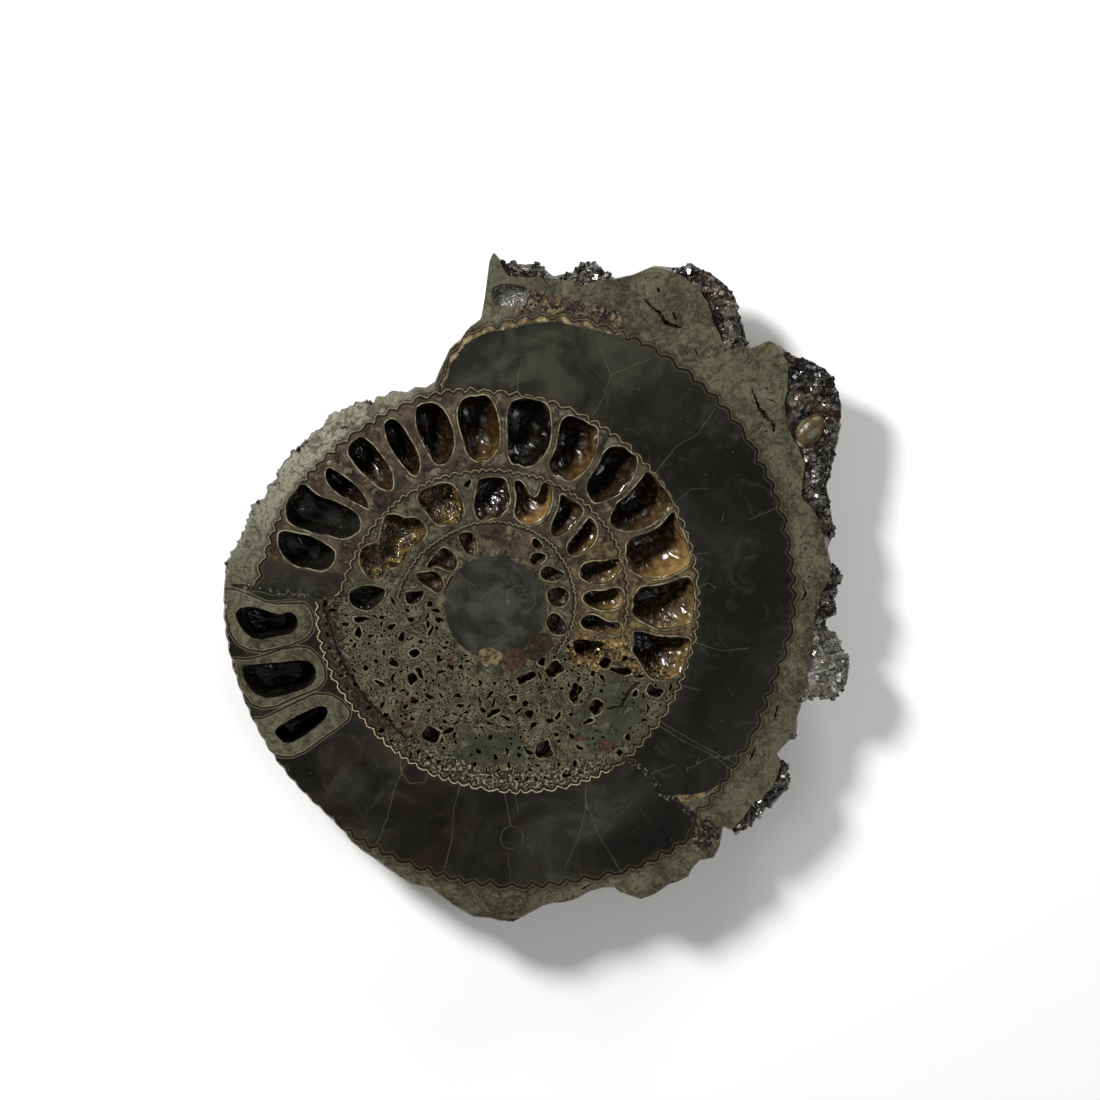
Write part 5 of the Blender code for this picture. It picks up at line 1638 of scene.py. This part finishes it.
def dark_mudstone():
    look = Look("dark mudstone")
    cloud = look.noise(24, 5, 0.62, 0.9)
    look.base(cloud, (0.3, 11, 11, 9), (0.48, 19, 19, 16), (0.62, 33, 33, 28), (0.74, 50, 49, 41))
    top = look.plus(look.axis(1), look.times(look.axis(0), -0.5))
    smoky = look.ramp(look.noise(16, 5, 0.6, 0.8), (0.4, 24, 24, 20), (0.5, 39, 39, 33), (0.62, 58, 58, 50))
    look.tint(look.span(top, 0.01, 0.07, 0, 0.8), smoky)
    right = look.times(look.span(look.axis(0), 0.02, 0.045, 0, 0.6), look.span(top, 0.0, 0.03, 1, 0))
    look.tint(right, 14, 14, 11)
    across = look.math("ABSOLUTE", look.plus(look.axis(0), 0.011))
    along = look.math("ABSOLUTE", look.plus(look.axis(1), 0.005))
    hub = look.plus(across, along)
    worn = look.noise(7, 5, 0.65, 0.8)
    worn_disc = look.ramp(worn, (0.4, 34, 35, 30), (0.5, 48, 48, 42), (0.6, 60, 60, 54))
    look.tint(look.span(hub, 0.016, 0.022, 0.85, 0), worn_disc)
    disc = look.noise(11, 5, 0.7, 1.4)
    look.tint(look.span(disc, 0.52, 0.72, 0, 0.4), 62, 60, 50)
    low_left = look.plus(look.axis(0), look.times(look.axis(1), 0.6))
    rust = look.times(look.span(low_left, -0.1, 0.0, 0.45, 0.0), look.span(look.noise(10, 3), 0.48, 0.64))
    look.tint(rust, 44, 26, 20)
    dots = look.span(look.cells(1.5), 0.0, 0.14, 0.8, 0.0)
    specks = look.times(dots, look.span(look.noise(3.5, 2), 0.57, 0.66))
    look.tint(specks, 120, 116, 96)
    return face_finish(look, look.span(cloud, 0.3, 0.7, 0.2, 0.34), 0.0, 0.003)


def grey_mudstone():
    look = Look("grey mudstone")
    cloud = look.noise(7, 4, 0.65, 0.8)
    look.base(cloud, (0.36, 26, 20, 15), (0.5, 54, 45, 37), (0.62, 82, 71, 57))
    look.tint(look.span(look.noise(1.8, 4, 0.7), 0.52, 0.62, 0, 0.7), 16, 12, 7)
    look.tint(look.span(look.noise(3.4, 3, 0.6, 1.0), 0.6, 0.7, 0, 0.6), 96, 66, 32)
    look.tint(look.span(look.noise(2.7, 3, 0.6, 0.5), 0.58, 0.66, 0, 0.7), 100, 96, 74)
    right = look.span(look.axis(0), 0.006, 0.014)
    golden = look.times(right, look.span(look.axis(1), 0.008, 0.018, 0.7, 0.0))
    gold = look.ramp(look.noise(2.2, 4, 0.65), (0.4, 30, 23, 12), (0.5, 76, 62, 36), (0.6, 116, 98, 62))
    look.tint(golden, gold)
    return face_finish(look, 0.34, 0.0, 0.015)


def crust_pyrite():
    look = Look("pyrite crust")
    where = look.warped(7, 6)
    cloud = look.noise(14, 4, 0.6, 0.5)
    look.base(cloud, (0.38, 50, 48, 33), (0.5, 72, 71, 52), (0.62, 92, 92, 71))
    left = look.span(look.axis(0), -0.075, 0.01, 0.9, 0.0)
    top = look.span(look.axis(1), -0.01, 0.045, 0.0, 1.0)
    look.tint(look.times(left, top), 174, 173, 150)
    lip = look.times(look.span(look.axis(1), 0.054, 0.058), look.span(look.axis(1), 0.070, 0.074, 1, 0))
    lip = look.times(lip, look.span(look.axis(0), -0.017, -0.012, 0.8, 0.0))
    look.tint(lip, 46, 34, 22)
    outside = look.attribute("shell_outside")
    layers = look.plus(look.times(outside, 0.62), look.times(look.noise(3.2, 3), 1.5))
    layers = look.math("FRACT", layers)
    lines = look.times(look.span(layers, 0.0, 0.13, 1.0, 0.0), look.span(look.noise(5.5, 2), 0.4, 0.54))
    look.tint(look.times(lines, 0.85), 30, 27, 17)
    swirl = look.threads(4.2, 4, 0.6, 2.2, where)
    look.tint(look.span(swirl, 0.0, 0.02, 0.5, 0.0), 126, 122, 96)
    grain = look.noise(0.8, 4, 0.75)
    blotch = look.noise(3.4, 4, 0.6, 1.5)
    look.tint(look.span(blotch, 0.51, 0.6, 0, 0.4), 104, 104, 84)
    look.tint(look.span(blotch, 0.47, 0.39, 0, 0.65), 44, 42, 28)
    look.tint(look.span(grain, 0.54, 0.64, 0, 0.45), 122, 120, 96)
    look.tint(look.span(grain, 0.45, 0.36, 0, 0.6), 26, 24, 15)
    seams = look.threads(6.0, 4, 0.6, 2.6)
    look.tint(look.span(seams, 0.0, 0.016, 0.7, 0.0), 30, 26, 16)
    stain = look.span(look.noise(8, 4, 0.7, 1.0), 0.55, 0.66, 0, 0.65)
    look.tint(stain, 52, 43, 26)
    # Painted shade: near-black spots stand in for the shade inside small pits that are not modelled.
    pits = look.plus(look.cells(2.4), look.times(look.noise(0.7, 2), 0.3))
    pits = look.times(look.span(pits, 0.24, 0.34, 1, 0), look.span(look.noise(5, 2), 0.5, 0.58))
    look.tint(look.times(pits, 0.9), 10, 9, 6)
    bright = look.plus(look.cells(5.6), look.times(look.noise(0.8, 2), 0.12))
    bright = look.times(look.span(bright, 0.10, 0.14, 1, 0), look.span(look.noise(9, 2), 0.5, 0.56))
    look.tint(look.times(bright, 0.7), 150, 147, 124)
    return face_finish(look, look.span(grain, 0.3, 0.7, 0.46, 0.30), 0.3, 0.014, septa=0.7)


def porous_pyrite():
    look = Look("porous pyrite")
    cloud = look.noise(4.0, 5, 0.7, 0.8)
    look.base(cloud, (0.38, 20, 17, 10), (0.47, 58, 55, 39), (0.6, 96, 94, 72))
    look.tint(look.span(look.noise(4.2, 4, 0.6, 0.6), 0.6, 0.68, 0, 0.7), 80, 48, 22)
    # Painted shade: near-black branching threads stand in for the shade inside gaps that are not modelled.
    veins = look.threads(5.0, 5, 0.7, 1.6)
    gaps = look.times(look.span(veins, 0.012, 0.045, 1.0, 0.0), look.span(look.noise(6.0, 2), 0.4, 0.52))
    look.tint(look.times(gaps, 0.9), 16, 13, 8)
    threads = look.threads(4.6, 3, 0.6, 2.2)
    look.tint(look.span(threads, 0.0, 0.018, 0.55, 0.0), 132, 128, 102)
    cold = look.span(look.noise(9, 3), 0.54, 0.64, 0, 0.6)
    look.tint(cold, 58, 60, 48)
    edge = look.attribute("pore_distance")
    look.tint(look.span(edge, 0.1, 0.3, 0.55, 0.0), 112, 108, 84)
    look.tint(look.span(edge, 0.0, 0.07, 0.7, 0.0), 20, 17, 11)
    return face_finish(look, 0.36, 0.25, 0.03, septa=0.8)


def granular_pyrite():
    look = Look("granular pyrite")
    pick = look.cells(0.5, output="Color")
    look.base(pick, (0.15, 15, 13, 8), (0.45, 38, 36, 26), (0.75, 64, 61, 46), (0.97, 112, 107, 86))
    look.tint(look.span(look.noise(5, 3), 0.45, 0.62, 0, 0.75), 30, 27, 18)
    glitter = look.span(look.axis(1), -0.05, -0.035, 0.5, 0.0)
    look.tint(look.times(glitter, look.span(look.noise(0.8, 2), 0.5, 0.65)), 190, 182, 150)
    return face_finish(look, 0.36, 0.2, 0.05)


def tan_shell():
    look = Look("tan shell")
    cloud = look.noise(4.0, 4, 0.6, 0.5)
    look.base(cloud, (0.4, 62, 49, 32), (0.5, 108, 92, 64), (0.6, 166, 147, 110))
    inside = look.attribute("shell_inside")
    look.tint(look.span(inside, 1.1, 2.4, 0.0, 0.85), 36, 32, 24)
    return face_finish(look, 0.4, 0.0, 0.02)


def fault_grains():
    look = Look("black fault grains")
    look.base(look.cells(0.6, output="Color"), (0.45, 6, 5, 4), (0.62, 40, 37, 28), (0.95, 118, 111, 88))
    look.tint(look.span(look.noise(2.5, 2), 0.54, 0.62, 0, 0.6), 5, 4, 3)
    return face_finish(look, 0.42, 0.1, 0.1, shell=0.3)


def smooth_pyrite():
    look = Look("smooth slate green pyrite")
    look.base(look.noise(7, 4, 0.6, 0.6), (0.3, 40, 41, 32), (0.6, 64, 66, 53), (0.75, 84, 84, 68))
    specks = look.times(look.span(look.cells(1.8), 0.05, 0.2, 1, 0), look.span(look.noise(4, 2), 0.5, 0.6))
    look.tint(look.times(specks, 0.8), 16, 14, 9)
    return face_finish(look, 0.34, 0.2, 0.01)


def gold_druse():
    look = Look("gold brown druse")
    cloud = look.noise(3.4, 4, 0.65, 0.6)
    look.base(cloud, (0.32, 16, 11, 5), (0.46, 62, 46, 22), (0.58, 104, 82, 42), (0.72, 150, 128, 78))
    look.tint(look.span(look.cells(0.8, output="Color"), 0.6, 0.9, 0, 0.6), 168, 148, 100)
    look.tint(look.span(look.noise(1.6, 3, 0.7), 0.55, 0.64, 0, 0.85), 14, 9, 4)
    look.set(Base_Color=look.colour, Roughness=0.25, Metallic=0.2)
    look.bump((look.noise(1.8, 3, 0.6), 0.35), (look.cells(0.8), 0.2))
    return look.material


def calcite_blob(name, core, rim):
    look = Look(name)
    look.base(look.noise(1.9, 5, 0.7, 0.8), (0.42, *rim), (0.56, *core))
    look.tint(look.span(look.noise(0.9, 3), 0.56, 0.68, 0, 0.4), 92, 70, 46)
    look.set(Base_Color=look.colour, Roughness=0.25, Coat_Weight=0.2)
    look.bump((look.noise(1.1, 3), 0.2))
    return look.material


def pore_wall():
    look = Look("pore walls")
    look.base(look.noise(2.0, 3), (0.36, 9, 7, 4), (0.52, 34, 25, 14), (0.66, 96, 68, 34))
    look.set(Base_Color=look.colour, Roughness=0.4)
    look.bump((look.noise(0.5, 2), 0.1))
    return look.material


def black_wall():
    look = Look("smooth black walls")
    look.set(Base_Color=look.ramp(look.noise(5, 3), (0.35, 9, 9, 7), (0.7, 30, 29, 24)), Roughness=0.2)
    look.bump((look.noise(1.6, 2), 0.06))
    return look.material


def drusy_wall():
    look = Look("drusy brown walls")
    look.base(look.noise(2.6, 4, 0.6), (0.34, 12, 8, 4), (0.5, 56, 42, 22), (0.7, 124, 102, 58))
    low_left = look.span(look.axis(0), -0.075, -0.05, 0.8, 0.0)
    look.tint(low_left, 52, 50, 42)
    look.set(Base_Color=look.colour, Roughness=0.22, Metallic=0.2)
    look.bump((look.noise(1.4, 3, 0.6), 0.3), (look.cells(0.7), 0.2))
    return look.material


def silver_wall():
    look = Look("silver grey cavity")
    look.set(Base_Color=look.ramp(look.noise(1.6, 3), (0.35, 70, 68, 62), (0.7, 150, 148, 140)),
             Roughness=0.35, Metallic=0.5)
    look.bump((look.cells(0.6), 0.15))
    return look.material


def lining_crystal():
    look = Look("brown calcite crystals")
    # The tone attribute carries each lining's own brightness multiplied by painted light on its lower right
    # and painted shade in its depths.
    bright = look.attribute("tone")
    hue = look.noise(2.2, 4, 0.6)
    shade = look.plus(look.times(bright, 0.62), look.times(look.math("SUBTRACT", hue, 0.5), 0.7))
    look.base(shade, (0.0, 8, 6, 4), (0.16, 22, 14, 6), (0.34, 54, 42, 21), (0.55, 96, 78, 44),
              (0.8, 142, 121, 80))
    amber = look.ramp(shade, (0.0, 9, 6, 3), (0.3, 54, 32, 15), (0.6, 118, 78, 38))
    look.tint(look.times(look.attribute("warmth"), 0.35), amber)
    look.set(Base_Color=look.colour, Roughness=0.26, Coat_Weight=0.25, Coat_Roughness=0.08, IOR=1.5)
    look.bump((look.noise(1.3, 3, 0.6), 0.1), (look.cells(0.9), 0.02))
    return look.material


def rim_pyrite():
    look = Look("drusy rim pyrite")
    look.base(look.noise(5.5, 4, 0.7), (0.42, 8, 7, 5), (0.51, 28, 25, 20), (0.62, 96, 93, 83))
    look.tint(look.span(look.noise(8, 2), 0.54, 0.64, 0, 0.6), 66, 46, 30)
    # Painted highlight: a paler patch laid on the shiny cluster at the right of the rim.
    level = look.axis(1)
    right = look.times(look.span(level, -0.036, -0.028), look.span(level, -0.016, -0.008, 1, 0))
    look.tint(look.times(right, look.span(look.axis(0), 0.066, 0.074, 0, 0.45)), 140, 139, 128)
    gloss = look.span(look.noise(1.4, 2), 0.35, 0.65, 0.16, 0.36)
    look.set(Base_Color=look.colour, Roughness=gloss, Metallic=0.4, Coat_Weight=0.4, Coat_Roughness=0.1)
    look.bump((look.noise(2.6, 3, 0.6), 0.5), (look.cells(1.2), 0.08))
    return look.material


def natural_pyrite():
    look = Look("natural side")
    cloud = look.noise(14, 5, 0.6, 0.4)
    look.base(cloud, (0.3, 34, 30, 22), (0.5, 70, 66, 50), (0.7, 98, 94, 74))
    look.tint(look.span(look.noise(9, 4, 0.65), 0.55, 0.66, 0, 0.7), 92, 66, 38)
    grain = look.noise(0.9, 3, 0.7)
    look.tint(look.span(grain, 0.52, 0.68, 0, 0.55), 136, 130, 104)
    look.set(Base_Color=look.colour, Roughness=look.span(grain, 0.35, 0.65, 0.5, 0.28), Metallic=0.45)
    look.bump((look.noise(2.6, 4, 0.6), 0.35), (look.cells(0.7), 0.18))
    return look.material


def grain_calcite():
    look = Look("cream and amber calcite")
    along, across = look.attribute("along"), look.attribute("across")
    edge = look.math("MAXIMUM", across, look.math("ABSOLUTE", along))
    look.base(look.noise(2.2, 4, 0.6), (0.36, 56, 44, 22), (0.5, 72, 60, 32), (0.64, 90, 77, 46))
    look.tint(look.span(edge, 0.7, 0.98, 0.0, 0.6), 122, 112, 84)
    # Painted highlight: the grain's inner end is painted near white.
    look.tint(look.span(along, -0.72, -0.9), 205, 200, 182)
    look.set(Base_Color=look.colour, Roughness=0.32, Subsurface_Weight=0.15, Subsurface_Scale=0.002)
    look.bump((look.noise(0.8, 3), 0.05))
    return look.material


# Lights: name, place, size, power
LIGHTS = [
    ("key", (-0.55, 0.48, 0.62), 0.22, 11.5), ("fill", (0.55, -0.30, 0.75), 0.6, 2.6),
    ("rim", (0.25, 0.75, 0.35), 0.3, 2.4),
]
# The camera looks straight down at the face, from far above it
CAMERA_PLACE = (3.78 * MM, 10.0 * MM, (FACE + 825) * MM)
LENS = 100
SENSOR = 36
FLOOR_REACH = 3


def area_light(name, place, size, power):
    """A round light that is aimed at the origin."""
    lamp = bpy.data.lights.new(name, "AREA")
    lamp.shape = "DISK"
    lamp.size = size
    lamp.energy = power
    made = bpy.data.objects.new(name, lamp)
    bpy.context.scene.collection.objects.link(made)
    made.location = place
    made.rotation_euler = (-Vector(place)).to_track_quat("-Z", "Y").to_euler()


def studio():
    """A pale floor, a soft key light from the upper left and gentle fill."""
    scene = bpy.context.scene
    for name in ("Cube", "Light", "Camera"):
        if name in bpy.data.objects:
            bpy.data.objects.remove(bpy.data.objects[name])
    world = bpy.data.worlds.new("studio")
    scene.world = world
    world.use_nodes = True
    backdrop = world.node_tree.nodes["Background"]
    backdrop.inputs["Color"].default_value = (1.0, 0.97, 0.92, 1)
    backdrop.inputs["Strength"].default_value = 0.16
    for light in LIGHTS:
        area_light(*light)
    corners = [(a * FLOOR_REACH, b * FLOOR_REACH, 0) for a, b in ((-1, -1), (1, -1), (1, 1), (-1, 1))]
    mesh = bpy.data.meshes.new("floor")
    mesh.from_pydata(corners, [], [(0, 1, 2, 3)])
    paper = Look("pale floor")
    paper.set(Base_Color=(0.93, 0.93, 0.93), Roughness=0.9)
    mesh.materials.append(paper.material)
    floor = bpy.data.objects.new("floor", mesh)
    scene.collection.objects.link(floor)

    camera = bpy.data.cameras.new("camera")
    camera.lens = LENS
    camera.sensor_width = SENSOR
    camera.clip_start = 0.05
    view = bpy.data.objects.new("camera", camera)
    scene.collection.objects.link(view)
    view.location = CAMERA_PLACE
    scene.camera = view
    scene.view_settings.view_transform = "Standard"
    scene.view_settings.look = "None"


def put(made, node):
    """Fixes a piece to the body and hides the CAD part it stands in for."""
    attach(made, "root")
    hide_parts(node)


def build():
    """Makes every piece of the fossil, its linings and its grain."""
    face, walls, pores, side = Shape(), Shape(), Shape(), Shape()
    edge = polished_face(face, walls, pores)
    natural_side(side, *edge)
    zone_looks = [
        dark_mudstone(), grey_mudstone(), crust_pyrite(), porous_pyrite(), granular_pyrite(),
        tan_shell(), fault_grains(),
        calcite_blob("tan calcite", (112, 96, 70), (44, 35, 22)),
        calcite_blob("orange calcite", (66, 44, 28), (26, 17, 10)),
        calcite_blob("red brown calcite", (42, 31, 23), (15, 11, 8)),
        smooth_pyrite(), gold_druse(),
    ]
    pieces = [
        (face, "polished_face", zone_looks, False),
        (walls, "hollow_walls", [pore_wall(), black_wall(), drusy_wall(), silver_wall()], False),
        (pores, "pore_walls", [pore_wall()], True),
        (side, "natural_side", [natural_pyrite(), rim_pyrite()], True),
        (rim_crystals(), "rim_crystals", [rim_pyrite()], False),
    ]
    for shape, name, looks, smooth in pieces:
        put(shape.make(name, looks, smooth), "fossil")
    crystal = lining_crystal()
    for number, ((outline, depth), look) in enumerate(zip(LINED, LINING_LOOKS), start=1):
        lining = chamber_lining(number, outline, depth, look)
        made = lining.make(f"lining_{number:02d}", [crystal], smooth=look[1] > SMOOTH_SIZE)
        put(made, f"chamber_lining_{number:02d}")
    put(calcite_grain().make("cream_grain", [grain_calcite()]), "calcite_grain")


build()
studio()
